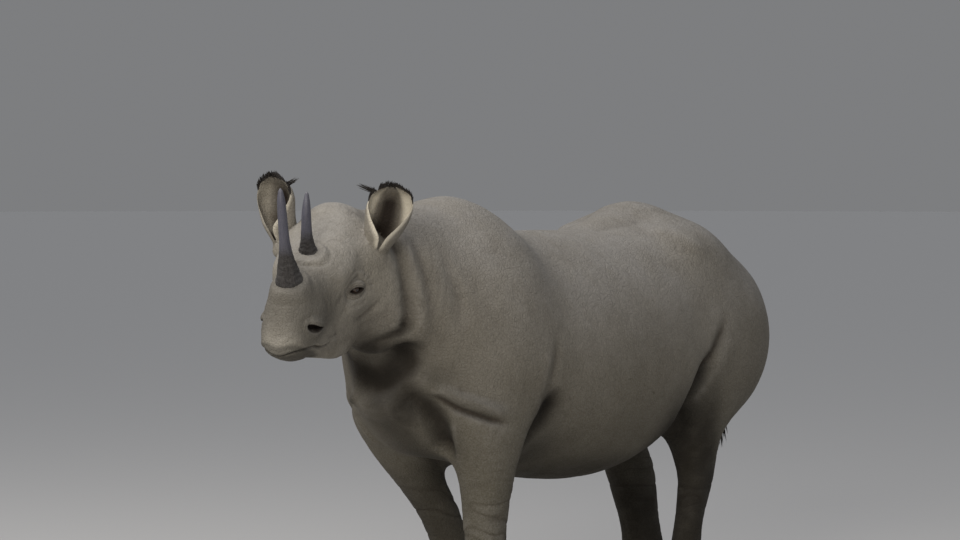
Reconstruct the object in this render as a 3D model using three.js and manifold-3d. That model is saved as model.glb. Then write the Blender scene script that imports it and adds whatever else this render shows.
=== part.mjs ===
// Black rhinoceros, adult, standing with its head raised and turned a little to its left.
// Life size, in millimetres. +Z is up, the nose points to -Y and the left side to +X.
// The body is one smooth form, worked out as a field that is negative inside, and parted by thin cuts.
import * as THREE from "three";
import { mergeVertices } from "three/addons/utils/BufferGeometryUtils.js";
import Module from "manifold-3d";

// ---- driving dimensions ----

const WITHERS = 1568; // height of the shoulders' top
const BACK = 1450; // height of the saddle of the back
const CROUP = 1556; // height of the hips' top
const BELLY = 482; // clearance under the belly
const GIRTH_HALF = 455; // half width at the belly
const CHEST_FRONT = -1020;
const RUMP_REAR = 1110;
const FORE_CUT = 600; // height where the front legs are parted from the trunk
const HIND_CUT = 660;
const CUT_RISE = 0.45; // slope of these cuts, rising outward
const SHANK_TOP = 450; // below this height nothing but legs is in the way
const CROWN = [22, -1297, 1577]; // top of the head, between the ears
const HEAD_TURN = 18.5; // degrees to the left
const HEAD_DROP = 30; // degrees below level, from the crown to the front horn
const HEAD_TILT = 5; // degrees, the left ear lower
// Horn radii from root to tip.
const FRONT_GIRTH = [46, 42.5, 37.5, 31, 24, 19, 16, 14.5, 13, 10.5, 4];
const REAR_GIRTH = [42, 32, 24, 20, 18, 16.5, 13, 4];
const FRONT_HORN = { root: [498, 0, -30], height: 345, hook: 72, lean: -18, girth: FRONT_GIRTH };
const REAR_HORN = { root: [314, 6, -34], height: 222, hook: 78, lean: -8, girth: REAR_GIRTH };
const LIDS = { size: [35, 23, 26], slit: 48, gape: 24 };
const EYE = { place: [140, -186], ahead: 0.84, radius: 21, sink: 17, tilt: 8 };
const NOSTRIL = { place: [458, -167], ahead: 1, half: [36, 30, 12], tilt: -8 };
const MOUTH = { corner: -285, front: -203, pivot: 560, turn: 132, radius: 6 };
const EAR = { root: [98, 174, -128], length: 234, spread: 44, turn: 22, wall: 8 };
const TAIL = { root: [0, 1045, 1262], back: 1168, tip: 640, girth: [40, 33, 25, 20, 16, 9] };
const TASSEL = { locks: 14, from: 0.7, length: 120, width: 12, thickness: 5 };
const TOE = { turns: [-52, 0, 52], half: [33, 17, 38], middle: 1.12, lean: -12, height: 26, lift: 4 };
const GAP = 0.3; // between faces that meet

// ---- three.js geometry and manifold-3d solids ----

const wasm = await Module();
wasm.setup();

const vec = (x, y, z) => new THREE.Vector3(x, y, z);
const degrees = THREE.MathUtils.degToRad;

// A closed three.js geometry as a solid that can be joined and cut.
function solid(geometry) {
  const bare = geometry.clone();
  bare.deleteAttribute("normal");
  bare.deleteAttribute("uv");
  const merged = mergeVertices(bare, 1e-3);
  return new wasm.Manifold(
    new wasm.Mesh({
      numProp: 3,
      vertProperties: new Float32Array(merged.attributes.position.array),
      triVerts: new Uint32Array(merged.index.array),
    }),
  );
}

// The largest closed surface of a solid, without loose scraps.
function largest(body) {
  return body.decompose().reduce((a, b) => (b.volume() > a.volume() ? b : a));
}

function geometryOf(body) {
  const mesh = largest(body).getMesh();
  const geometry = new THREE.BufferGeometry();
  geometry.setAttribute("position", new THREE.BufferAttribute(mesh.vertProperties, 3));
  geometry.setIndex(new THREE.BufferAttribute(mesh.triVerts, 1));
  geometry.computeVertexNormals();
  return geometry;
}

// A geometry with each vertex moved by a function of its place.
function reshaped(geometry, move) {
  const position = geometry.attributes.position;
  for (let i = 0; i < position.count; i++) {
    const moved = move(vec().fromBufferAttribute(position, i), i);
    position.setXYZ(i, moved.x, moved.y, moved.z);
  }
  return geometry;
}

// A closed surface grown by a little more than the gap, to cut what stands on it.
function grown(geometry) {
  const copy = geometry.clone();
  copy.computeVertexNormals();
  const { normal } = copy.attributes;
  return solid(reshaped(copy, (p, i) => p.addScaledVector(vec().fromBufferAttribute(normal, i), 1.2 * GAP)));
}

// A closed tube of changing section: outline(turn, t) gives the offset from the path at t.
function swept(path, sides, steps, outline) {
  const frames = path.computeFrenetFrames(steps);
  return reshaped(new THREE.CylinderGeometry(1, 1, 1, sides, steps), (p) => {
    const t = p.y + 0.5;
    const rim = Math.hypot(p.x, p.z);
    const [a, b] = outline(Math.atan2(p.x, p.z), t);
    const i = Math.round(t * steps);
    return path
      .getPoint(t)
      .addScaledVector(frames.normals[i], a * rim)
      .addScaledVector(frames.binormals[i], b * rim);
  });
}

// A round tube whose radius is given along its path.
function tube(path, sides, steps, radiusAt) {
  return swept(path, sides, steps, (turn, t) => [Math.cos(turn) * radiusAt(t), Math.sin(turn) * radiusAt(t)]);
}

// A block between two corners, placed in a frame.
function block(low, high, frame = new THREE.Matrix4()) {
  const size = vec(...high).sub(vec(...low));
  const middle = vec(...high).add(vec(...low)).multiplyScalar(0.5);
  const box = new THREE.BoxGeometry(size.x, size.y, size.z);
  box.translate(middle.x, middle.y, middle.z);
  return solid(box.applyMatrix4(frame));
}

// A frame with its first axis forward, turned left and dropped by degrees, its second axis to the left.
// A tilt lowers the left side.
function heading(origin, turn, drop, tilt = 0) {
  const [yaw, pitch] = [degrees(turn), degrees(drop)];
  const level = Math.cos(pitch);
  const along = vec(Math.sin(yaw) * level, -Math.cos(yaw) * level, -Math.sin(pitch));
  const left = vec(Math.cos(yaw), Math.sin(yaw), 0);
  left.applyAxisAngle(along, degrees(-tilt));
  const up = along.clone().cross(left);
  return new THREE.Matrix4().makeBasis(along, left, up).setPosition(...origin);
}

// ---- fields: negative inside, roughly the distance in millimetres ----

// The union of two forms with a fillet about k wide.
function blend(a, b, k) {
  const h = Math.max(k - Math.abs(a - b), 0) / k;
  return Math.min(a, b) - (h * h * k) / 4;
}

// Rows of numbers as a smooth function of the first number in each row.
function smoothRows(rows) {
  const places = rows.map((row) => row[0]);
  const values = rows.flatMap((row) => row.slice(1));
  const curve = new THREE.CubicInterpolant(places, values, rows[0].length - 1);
  return (t) => curve.evaluate(t);
}

// Distance to one section: an oval with its own reach above and below the widest line.
function section(side, height, half, up, down, power) {
  const reach = height > 0 ? up : down;
  const r = Math.hypot(side, height);
  if (r < 1e-6) return -Math.min(half, reach);
  const g = (Math.abs(side / half) ** power + Math.abs(height / reach) ** power) ** (1 / power);
  return r * (1 - 1 / g);
}

// Closes a swept section at the two ends of its path.
function capped(distance, past) {
  return past > 0 && distance > 0 ? Math.hypot(distance, past) : Math.max(distance, past);
}

// A form of oval sections. Rows: place, top, bottom, height of the widest line, half width, squareness.
function loft(rows) {
  const at = smoothRows(rows);
  const [first, last] = [rows[0][0], rows.at(-1)[0]];
  return (along, side, height) => {
    const [top, bottom, wide, half, power] = at(along);
    const d = section(side, height - wide, half, top - wide, wide - bottom, power);
    return capped(d, Math.max(first - along, along - last));
  };
}

// A leg. Rows: height, middle across, middle along, half width, reach to the front, reach to the back.
// The foot is turned by some radians, less and less toward the top.
function limb(rows, turn) {
  const at = smoothRows(rows);
  const [first, last] = [rows[0][0], rows.at(-1)[0]];
  return (x, y, z) => {
    const [across, along, half, front, back] = at(z);
    const angle = turn * THREE.MathUtils.clamp(1.6 - z / 450, 0, 1);
    const [c, s] = [Math.cos(angle), Math.sin(angle)];
    const [side, ahead] = [x - across, along - y];
    const d = section(side * c - ahead * s, ahead * c + side * s, half, front, back, 2.2);
    return capped(d, Math.max(first - z, z - last));
  };
}

// An egg shape with its own half sizes.
function egg(x, y, z, [cx, cy, cz], [rx, ry, rz]) {
  const [a, b, c] = [(x - cx) / rx, (y - cy) / ry, (z - cz) / rz];
  const k = Math.hypot(a, b, c);
  return (k * (k - 1)) / Math.max(Math.hypot(a / rx, b / ry, c / rz), 1e-9);
}

// A soft groove along a line through points: how far it lowers the surface at a place.
function groove(points, width, depth) {
  const lines = points.slice(1).map((end, i) => new THREE.Line3(vec(...points[i]), vec(...end)));
  const [near, here] = [vec(), vec()];
  return (x, y, z) => {
    here.set(x, y, z);
    const distances = lines.map((line) => line.closestPointToPoint(here, true, near).distanceTo(here));
    return depth * Math.exp(-((Math.min(...distances) / width) ** 2));
  };
}

// ---- the trunk ----

const trunkForm = loft([
  [CHEST_FRONT, 985, 845, 905, 80, 2],
  [-955, 1140, 736, 915, 178, 2],
  [-860, 1390, 650, 945, 272, 2],
  [-720, 1545, 612, 970, 350, 1.95],
  [-580, WITHERS, 590, 975, 392, 1.85],
  [-440, 1508, 552, 965, 418, 1.8],
  [-320, 1462, 522, 955, 434, 1.85],
  [-90, BACK, 488, 930, 452, 1.95],
  [150, 1450, BELLY, 930, GIRTH_HALF, 2],
  [360, 1498, 528, 955, 444, 1.9],
  [560, CROUP, 636, 1005, 412, 1.8],
  [780, 1456, 752, 1050, 362, 1.8],
  [940, 1362, 812, 1070, 294, 1.9],
  [1055, 1240, 888, 1065, 190, 2],
  [RUMP_REAR, 1150, 970, 1062, 90, 2],
]);

// The shoulder blade's muscle, the brisket, the thigh and the hip's point, alike on both sides.
function muscles(x, y, z) {
  const side = Math.abs(x);
  const shoulder = egg(side, y, z, [190, -600, 1010], [205, 270, 400]);
  const brisket = egg(x, y, z, [0, -985, 812], [105, 66, 44]);
  const thigh = egg(side, y, z, [207, 715, 1005], [232, 390, 360]);
  const hip = egg(side, y, z, [190, 580, 1352], [155, 180, 118]);
  return blend(blend(shoulder, brisket, 40), blend(thigh, hip, 160), 60);
}

// ---- the legs ----

// Rows of a leg whose top lies away from its sole by a sweep, given a share at a time.
// A stout leg is longer from front to back.
function legRows({ rows, sole: [across, along], sweep: [sweepAcross, sweepAlong], stout = 1 }) {
  return rows.map(([height, out, back, half, front, rear, share]) => [
    height,
    across + Math.sign(across) * out + sweepAcross * share,
    along + back + sweepAlong * share,
    half,
    front * stout,
    rear * stout,
  ]);
}

// Rows: height, shift outward, shift back, half width, reach to the front, to the back, share of the sweep.
const FRONT_LEG = [
  [-60, 0, 0, 112, 120, 112, 0],
  [0, 0, 0, 112, 120, 112, 0],
  [30, 0, 0, 111, 119, 110, 0],
  [75, 0, 4, 96, 104, 94, 0.03],
  [130, 0, 12, 78, 82, 79, 0.08],
  [250, 0, 14, 70, 75, 80, 0.16],
  [380, 0, 6, 78, 84, 90, 0.34],
  [480, 2, 8, 88, 92, 100, 0.58],
  [600, 6, 10, 112, 122, 128, 0.84],
  [720, 0, 10, 132, 168, 172, 1],
  [860, -30, 25, 130, 190, 200, 1.15],
];

const HIND_LEG = [
  [-60, 0, 0, 100, 116, 106, 0],
  [0, 0, 0, 100, 116, 106, 0],
  [30, 0, 0, 99, 115, 104, 0],
  [75, 0, 4, 86, 98, 92, 0.06],
  [130, 0, 10, 68, 78, 80, 0.12],
  [260, 0, 22, 57, 72, 86, 0.3],
  [370, 0, 42, 60, 82, 102, 0.5],
  [450, 0, 54, 66, 96, 110, 0.62],
  [540, 0, 48, 80, 122, 104, 0.74],
  [640, -4, 40, 112, 160, 108, 0.88],
  [780, -16, 50, 152, 240, 185, 1],
];

// A front or a hind leg, and the place of the plane that it is parted at.
const foreleg = (at) => ({ rows: FRONT_LEG, cutHeight: FORE_CUT, ...at });
const hindLeg = (at) => ({ rows: HIND_LEG, cutHeight: HIND_CUT, ...at });

// Each leg: the middle of its sole, how far its top lies from there, the middle of its cut
// and the turn of the foot in degrees, outward on both sides.
const LEGS = {
  leg_front_left: foreleg({ sole: [230, -698], sweep: [0, 0], cut: [238, -690], turn: 6 }),
  leg_front_right: foreleg({ sole: [-173, -349], sweep: [-62, -291], cut: [-222, -560], turn: -6 }),
  leg_hind_left: hindLeg({ sole: [216, 603], sweep: [12, 37], cut: [228, 690], turn: 24 }),
  leg_hind_right: hindLeg({
    sole: [-196, 930],
    sweep: [-29, -255],
    cut: [-220, 740],
    turn: -32,
    stout: 1.13,
  }),
};
const limbForms = Object.values(LEGS).map((leg) => limb(legRows(leg), degrees(leg.turn)));

function legForms(x, y, z) {
  return Math.min(...limbForms.map((form) => form(x, y, z)));
}

// ---- the neck ----

const neckFrame = heading([0, -700, 1150], 4, -22);
const headFrame = heading(CROWN, HEAD_TURN, HEAD_DROP, HEAD_TILT);
const toNeck = neckFrame.clone().invert();
const toHead = headFrame.clone().invert();

const neckForm = loft([
  [-60, 405, -440, 0, 325, 2],
  [120, 385, -400, 0, 300, 2],
  [280, 330, -330, 0, 255, 2],
  [420, 265, -262, 0, 218, 2],
  [560, 200, -215, 0, 190, 2],
  [640, 140, -170, 0, 150, 2],
]);

// ---- the head: along from the crown to the nose, side to the left, height over the crown's line ----

const headForm = loft([
  [-70, -60, -280, -150, 108, 2],
  [-20, -8, -330, -145, 132, 2.1],
  [60, 4, -375, -150, 142, 2.2],
  [150, -8, -412, -165, 150, 2.4],
  [240, -20, -432, -180, 150, 2.6],
  [310, -22, -436, -185, 137, 2.8],
  [400, -20, -402, -195, 116, 2.5],
  [470, -14, -356, -200, 106, 2.3],
  [540, -34, -308, -205, 100, 2.2],
  [600, -82, -266, -200, 88, 2.1],
  [645, -132, -246, -192, 60, 2],
  [668, -162, -224, -192, 26, 2],
]);

function headDetail(u, w, v) {
  const side = Math.abs(w);
  let d = headForm(u, w, v);
  d = blend(d, egg(u, side, v, [165, 96, -255], [140, 64, 122]), 50); // jaw muscle
  d = blend(d, egg(u, side, v, [262, 70, -388], [118, 46, 56]), 60); // lower edge of the jaw
  d = blend(d, egg(u, side, v, [106, 140, -140], [62, 58, 64]), 60); // root of the ear
  d = blend(d, egg(u, side, v, [232, 110, -238], [104, 48, 44]), 50); // cheek bone
  d = blend(d, egg(u, side, v, [262, 88, -112], [84, 50, 38]), 50); // brow
  d = blend(d, egg(u, w, v, [316, 0, -40], [70, 70, 36]), 40); // boss of the rear horn
  d = blend(d, egg(u, w, v, [500, 0, -50], [70, 66, 46]), 40); // boss of the front horn
  d = blend(d, egg(u, side, v, [532, 68, -168], [50, 46, 36]), 30); // nostril's rim
  d = blend(d, egg(u, w, v, [620, 0, -194], [62, 70, 44]), 34); // upper lip
  d = blend(d, egg(u, w, v, [548, 0, -264], [74, 66, 34]), 30); // lower lip
  const socket = ((u - 300) / 42) ** 2 + ((v + 188) / 30) ** 2 + ((side - 130) / 60) ** 2;
  return d + 10 * Math.exp(-socket);
}

// ---- the whole body ----

const neckFolds = [
  groove([[110, -1215, 1560], [225, -1172, 1380], [240, -1120, 1180], [170, -1080, 1000]], 32, 22),
  groove([[130, -1080, 1560], [275, -1060, 1370], [310, -1030, 1140], [230, -1010, 940]], 38, 22),
];

function foldDepth(x, y, z) {
  return neckFolds.reduce((sum, fold) => sum + fold(Math.abs(x), y, z), 0);
}

const point = vec();

function bodyForm(x, y, z) {
  let d = blend(trunkForm(y, x, z), muscles(x, y, z), 90);
  point.set(x, y, z).applyMatrix4(toNeck);
  d = blend(d, neckForm(point.x, point.y, point.z), 130);
  d = blend(d, legForms(x, y, z), 80);
  point.set(x, y, z).applyMatrix4(toHead);
  d = blend(d, headDetail(point.x, point.y, point.z), 60);
  return d + foldDepth(x, y, z);
}

// ---- the surface of a field as a net of cells ----

// Grid lines from stops [place, step], the last stop a place alone.
function gridLines(...stops) {
  const lines = [];
  stops.slice(0, -1).forEach(([from, step], i) => {
    const to = [stops[i + 1]].flat()[0];
    const count = Math.max(Math.round((to - from) / step), 1);
    for (let k = 0; k < count; k++) lines.push(from + ((to - from) * k) / count);
  });
  return [...lines, [stops.at(-1)].flat()[0]];
}

// Fills the faces whose corners alternate, where the net would touch itself.
function fillAlternating(values, counts, strides) {
  let again = true;
  while (again) {
    again = false;
    for (let i = 0; i < values.length; i++) {
      for (const [a, b] of [[0, 1], [0, 2], [1, 2]]) {
        const [sa, sb] = [strides[a], strides[b]];
        const overA = Math.floor(i / sa) % counts[a] === counts[a] - 1;
        const overB = Math.floor(i / sb) % counts[b] === counts[b] - 1;
        if (overA || overB) continue;
        const ring = [i, i + sa, i + sa + sb, i + sb];
        const inside = ring.map((n) => values[n] < 0);
        const alternates = inside[0] === inside[2] && inside[1] === inside[3] && inside[0] !== inside[1];
        if (!alternates) continue;
        const spare = ring.filter((n) => values[n] >= 0).sort((m, n) => values[m] - values[n])[0];
        values[spare] = -1e-3;
        again = true;
      }
    }
  }
}

// One vertex in each cell that the surface crosses, joined across each grid edge that it crosses.
function netSkin(field, lines, frame = new THREE.Matrix4()) {
  const counts = lines.map((line) => line.length);
  const strides = [1, counts[0], counts[0] * counts[1]];
  const total = counts[0] * counts[1] * counts[2];
  const placeOf = (n) => [0, 1, 2].map((a) => Math.floor(n / strides[a]) % counts[a]);
  const world = vec();
  const sample = (u, w, v) => {
    world.set(u, w, v).applyMatrix4(frame);
    return field(world.x, world.y, world.z);
  };
  const values = new Float64Array(total);
  for (let n = 0; n < total; n++) {
    const place = placeOf(n);
    const onShell = place.some((index, a) => index === 0 || index === counts[a] - 1);
    values[n] = onShell ? 1 : sample(...place.map((index, a) => lines[a][index]));
  }
  fillAlternating(values, counts, strides);

  const vertexOf = new Int32Array(total).fill(-1);
  const vertices = [];
  for (let n = 0; n < total; n++) {
    const place = placeOf(n);
    if (place.some((index, a) => index === counts[a] - 1)) continue;
    const sum = [0, 0, 0];
    let crossings = 0;
    for (let axis = 0; axis < 3; axis++) {
      const [b, c] = [(axis + 1) % 3, (axis + 2) % 3];
      for (const [stepB, stepC] of [[0, 0], [1, 0], [0, 1], [1, 1]]) {
        const from = n + stepB * strides[b] + stepC * strides[c];
        const [p, q] = [values[from], values[from + strides[axis]]];
        if (p < 0 === q < 0) continue;
        const t = p / (p - q);
        sum[axis] += lines[axis][place[axis]] * (1 - t) + lines[axis][place[axis] + 1] * t;
        sum[b] += lines[b][place[b] + stepB];
        sum[c] += lines[c][place[c] + stepC];
        crossings += 1;
      }
    }
    if (crossings === 0) continue;
    vertexOf[n] = vertices.length / 3;
    const cell = place.map((index, a) => lines[a][index + 1] - lines[a][index]);
    vertices.push(...settled(sample, sum.map((s) => s / crossings), cell));
  }

  const index = [];
  for (let n = 0; n < total; n++) {
    const place = placeOf(n);
    for (let axis = 0; axis < 3; axis++) {
      const [b, c] = [(axis + 1) % 3, (axis + 2) % 3];
      if (place[axis] === counts[axis] - 1 || place[b] === 0 || place[c] === 0) continue;
      const [p, q] = [values[n], values[n + strides[axis]]];
      if (p < 0 === q < 0) continue;
      const [sb, sc] = [strides[b], strides[c]];
      const ring = [n - sb - sc, n - sc, n, n - sb].map((cell) => vertexOf[cell]);
      if (p >= 0) ring.reverse();
      const between = (i, j) => [0, 1, 2].map((a) => (vertices[3 * i + a] + vertices[3 * j + a]) / 2);
      const miss = (i, j) => Math.abs(sample(...between(i, j)));
      const turn = miss(ring[0], ring[2]) > miss(ring[1], ring[3]) ? 1 : 0;
      const [p0, p1, p2, p3] = [0, 1, 2, 3].map((k) => ring[(k + turn) % 4]);
      index.push(p0, p1, p2, p0, p2, p3);
    }
  }
  const geometry = new THREE.BufferGeometry();
  geometry.setAttribute("position", new THREE.Float32BufferAttribute(vertices, 3));
  geometry.setIndex(index);
  return geometry.applyMatrix4(frame);
}

// Moves a vertex onto the surface along the field's slope, by less than half a cell.
function settled(sample, start, cell) {
  const place = [...start];
  for (let round = 0; round < 4; round++) {
    const here = sample(...place);
    const slope = [0, 1, 2].map((a) => {
      const beside = [...place];
      beside[a] += 0.5;
      return (sample(...beside) - here) / 0.5;
    });
    const steep = slope.reduce((sum, s) => sum + s * s, 0);
    if (steep < 1e-6) break;
    slope.forEach((s, a) => {
      const reach = 0.45 * cell[a];
      place[a] = THREE.MathUtils.clamp(place[a] - (here * s) / steep, start[a] - reach, start[a] + reach);
    });
  }
  return place;
}

// ---- cuts between the flesh nodes ----

const FAR = 2500;
const half = GAP / 2;

// The head is parted behind the ears and the jaw, the neck before the shoulders.
const headCut = heading([38, -1262, 1560], HEAD_TURN, 20);
const neckCut = heading([0, -890, 1560], 4, -12);
const behind = (frame, offset) => block([-FAR, -FAR, -FAR], [offset, FAR, FAR], frame);
const before = (frame, offset) => block([offset, -FAR, -FAR], [FAR, FAR, FAR], frame);

// The room of one leg: below a plane that rises outward with the belly's side, and all round the foot.
const LEG_ROOM = { inward: 150, outward: 420, ahead: 230, behind: 280, foot: 300 };

function legBlock({ cut, cutHeight, sole }, room) {
  const outward = Math.sign(cut[0]);
  const slant = new THREE.Matrix4().makeShear(0, outward * CUT_RISE, 0, 0, 0, 0);
  slant.setPosition(...cut, cutHeight);
  const ends = [-outward * (LEG_ROOM.inward + room), outward * LEG_ROOM.outward];
  const low = [Math.min(...ends), -LEG_ROOM.ahead - room, -cutHeight / 2];
  const high = [Math.max(...ends), LEG_ROOM.behind + room, room];
  const foot = [-1, 1].map((way) => sole.map((place) => place + way * LEG_ROOM.foot));
  return block(low, high, slant).add(block([...foot[0], 0], [...foot[1], SHANK_TOP + room]));
}

const headGrid = [
  gridLines([-150, 34], [220, 17], [320, 28], [500, 18], 690),
  gridLines([-340, 34], [-180, 25], [180, 34], 340),
  gridLines([-540, 32], [-340, 24], [-220, 15], [-130, 27], 60),
];
const neckGrid = [gridLines([-40, 50], 720), gridLines([-490, 50], 490), gridLines([-620, 50], 560)];
const torsoGrid = [gridLines([-540, 72], 540), gridLines([-1180, 82], 1220), gridLines([400, 72], 1660)];

const headSkin = netSkin(bodyForm, headGrid, headFrame);
const neckSkin = netSkin(bodyForm, neckGrid, neckFrame);
const torsoSkin = netSkin(bodyForm, torsoGrid);

const neck = solid(neckSkin).intersect(behind(headCut, -half)).intersect(before(neckCut, half));
let torso = solid(torsoSkin).intersect(behind(neckCut, -half));
for (const leg of Object.values(LEGS)) torso = torso.subtract(legBlock(leg, half));

// The grid of a leg, wide enough for its sole and its swept top.
function legGrid({ sole, sweep }) {
  const reachOf = (axis, before, after) => [
    Math.min(0, sweep[axis]) + sole[axis] - before,
    Math.max(0, sweep[axis]) + sole[axis] + after,
  ];
  const [x0, x1] = reachOf(0, 210, 210);
  const [y0, y1] = reachOf(1, 260, 330);
  return [
    gridLines([x0, 40], x1),
    gridLines([y0, 43], y1),
    gridLines([-60, 30], [60, 38], [160, 46], 860),
  ];
}

// ---- the face: places are along and height in the head's frame, on the skin of one side ----

// The distance from a start inside the head to the skin, along a direction of the head's frame.
function reach(start, direction) {
  let [inside, outside] = [0, 400];
  for (let round = 0; round < 24; round++) {
    const middle = (inside + outside) / 2;
    point.copy(direction).multiplyScalar(middle).add(start).applyMatrix4(headFrame);
    if (bodyForm(point.x, point.y, point.z) < 0) inside = middle;
    else outside = middle;
  }
  return inside;
}

// A frame on the skin that looks outward and somewhat ahead, its first axis along the face, tilted down.
function onFace({ place, ahead, tilt, sink = 0 }, side) {
  const start = vec(place[0], 0, place[1]);
  const outward = vec(ahead, side, 0).normalize();
  const spot = start.clone().addScaledVector(outward, reach(start, outward) - sink);
  const along = vec(Math.cos(degrees(tilt)), 0, -Math.sin(degrees(tilt)));
  const across = outward.clone().cross(along).normalize();
  along.crossVectors(across, outward);
  return new THREE.Matrix4().makeBasis(along, across, outward).setPosition(spot).premultiply(headFrame);
}

// The eyeball's room, the lids round it and the slit between them.
function eyeParts(side) {
  const frame = onFace(EYE, side);
  const ball = (...size) => solid(new THREE.SphereGeometry(1, 12, 8).scale(...size).applyMatrix4(frame));
  const round = (radius) => ball(radius, radius, radius);
  const almond = new THREE.Shape();
  almond.moveTo(-LIDS.slit / 2, 0);
  almond.quadraticCurveTo(0, LIDS.gape, LIDS.slit / 2, 0);
  almond.quadraticCurveTo(0, -LIDS.gape * 0.8, -LIDS.slit / 2, 0);
  const slit = new THREE.ExtrudeGeometry(almond, { depth: 60, bevelEnabled: false, curveSegments: 4 });
  return {
    ball: round(EYE.radius),
    room: round(EYE.radius + GAP),
    lids: ball(...LIDS.size),
    slit: solid(slit.applyMatrix4(frame)),
  };
}

// A nostril: a comma-shaped hollow, wide in front and drawn out to the rear.
function nostril(side) {
  const [long, deep, high] = NOSTRIL.half;
  const hollow = reshaped(new THREE.SphereGeometry(1, 10, 6), (p) =>
    vec(p.x * long, p.y * high * (1 + 0.35 * p.x) + 9 * p.x * p.x, p.z * deep),
  );
  return solid(hollow.applyMatrix4(onFace(NOSTRIL, side)));
}

// The line of the mouth, round the muzzle from one corner to the other.
function mouthLine() {
  const places = [];
  for (let turn = -MOUTH.turn; turn <= MOUTH.turn; turn += MOUTH.turn / 9) {
    const direction = vec(Math.cos(degrees(turn)), Math.sin(degrees(turn)), 0);
    const height = THREE.MathUtils.lerp(MOUTH.corner, MOUTH.front, 0.5 + 0.5 * direction.x);
    const start = vec(MOUTH.pivot, 0, height);
    places.push(start.add(direction.multiplyScalar(reach(start, direction))).applyMatrix4(headFrame));
  }
  return solid(tube(new THREE.CatmullRomCurve3(places), 5, 20, () => MOUTH.radius));
}

// ---- horns: round at the root, slender, drawn back toward the tip ----

function girthAt(girth, t) {
  const place = t * (girth.length - 1);
  const i = Math.min(Math.floor(place), girth.length - 2);
  return THREE.MathUtils.lerp(girth[i], girth[i + 1], place - i);
}

function horn({ root, height, hook, lean, girth }) {
  const [foot, tip] = [vec(...root), vec(root[0] - hook, root[1] + lean, root[2] + height)];
  const knee = vec(root[0] + 4, root[1], root[2] + height * 0.45);
  const path = new THREE.QuadraticBezierCurve3(
    ...[foot, knee, tip].map((place) => place.applyMatrix4(headFrame)),
  );
  const body = tube(path, 10, 2 * (girth.length - 1), (t) => girthAt(girth, t));
  return solid(body).subtract(grown(headSkin));
}

// ---- ears: a rolled sheet of skin, closed at the root and opening forward and outward ----

const earShape = smoothRows([
  // share of the length, radius, half the turn that the sheet covers, forward shift
  [0, 46, 168, 0],
  [0.15, 56, 166, 0],
  [0.35, 70, 150, 2],
  [0.55, 80, 122, 4],
  [0.75, 80, 98, 8],
  [0.9, 62, 88, 14],
  [1, 22, 84, 20],
]);

function ear(side) {
  const drop = degrees(HEAD_DROP);
  const upward = vec(-Math.sin(drop), 0, Math.cos(drop));
  const outward = vec(0, side, 0);
  const ahead = vec(Math.cos(drop), 0, Math.sin(drop)).applyAxisAngle(upward, degrees(side * EAR.turn));
  const across = upward.clone().cross(ahead);
  const root = vec(EAR.root[0], side * EAR.root[1], EAR.root[2]);
  const sheet = reshaped(new THREE.CylinderGeometry(1, 1, 1, 22, 8), (p) => {
    const t = p.y + 0.5;
    const round = ((Math.atan2(p.x, p.z) + 2 * Math.PI) % (2 * Math.PI)) / Math.PI;
    const inner = round >= 1;
    const share = inner ? 3 - 2 * round : 2 * round - 1;
    const [radius, cover, shift] = earShape(t);
    const wall = EAR.wall * (1 - 0.35 * Math.abs(share)) * (1 - 0.3 * t);
    const flare = 7 * share ** 4 * t;
    const rim = Math.hypot(p.x, p.z);
    const r = rim < 0.5 ? 0.5 : radius + flare - (inner ? wall : 0);
    const angle = Math.PI + degrees(cover) * share;
    return root
      .clone()
      .addScaledVector(upward, t * EAR.length)
      .addScaledVector(outward, t * (2 - t) * EAR.spread)
      .addScaledVector(ahead, shift + Math.cos(angle) * r)
      .addScaledVector(across, Math.sin(angle) * r);
  });
  return solid(sheet.applyMatrix4(headFrame)).subtract(grown(headSkin));
}

// ---- the tail: a slim rope of skin with a tassel of stiff locks on its two edges ----

function tailPath() {
  const [x, y, z] = TAIL.root;
  const drop = z - TAIL.tip;
  return new THREE.CatmullRomCurve3([
    vec(x, y, z),
    vec(x, y + 62, z - 14),
    vec(x, TAIL.back, z - 0.2 * drop),
    vec(x, TAIL.back + 10, z - 0.5 * drop),
    vec(x, TAIL.back, z - 0.8 * drop),
    vec(x, TAIL.back + 4, TAIL.tip),
  ]);
}

function tail() {
  const path = tailPath();
  let body = solid(tube(path, 8, 12, (t) => girthAt(TAIL.girth, t)));
  for (let i = 0; i < TASSEL.locks; i++) {
    const edge = i % 2 === 0 ? 1 : -1;
    const t = TASSEL.from + ((1 - TASSEL.from) * (i + 0.5)) / TASSEL.locks;
    const [root, way] = [path.getPoint(t), path.getTangent(t)];
    const out = vec(0.25 * Math.sin(2.4 * i), edge, 0).normalize();
    const length = TASSEL.length * (0.85 + 0.15 * Math.cos(5.1 * i));
    const lock = new THREE.QuadraticBezierCurve3(
      root.clone().addScaledVector(out, -3),
      root.clone().addScaledVector(out, 24).addScaledVector(way, length * 0.45),
      root.clone().addScaledVector(out, 22).addScaledVector(way, length),
    );
    const hair = swept(lock, 4, 3, (turn, share) => {
      const taper = 1 - 0.88 * share;
      return [Math.cos(turn) * TASSEL.thickness * taper, Math.sin(turn) * TASSEL.width * taper];
    });
    body = body.add(solid(hair));
  }
  return body.subtract(grown(torsoSkin));
}

// ---- toenails: three on each foot, one ahead and two at the sides ----

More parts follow.
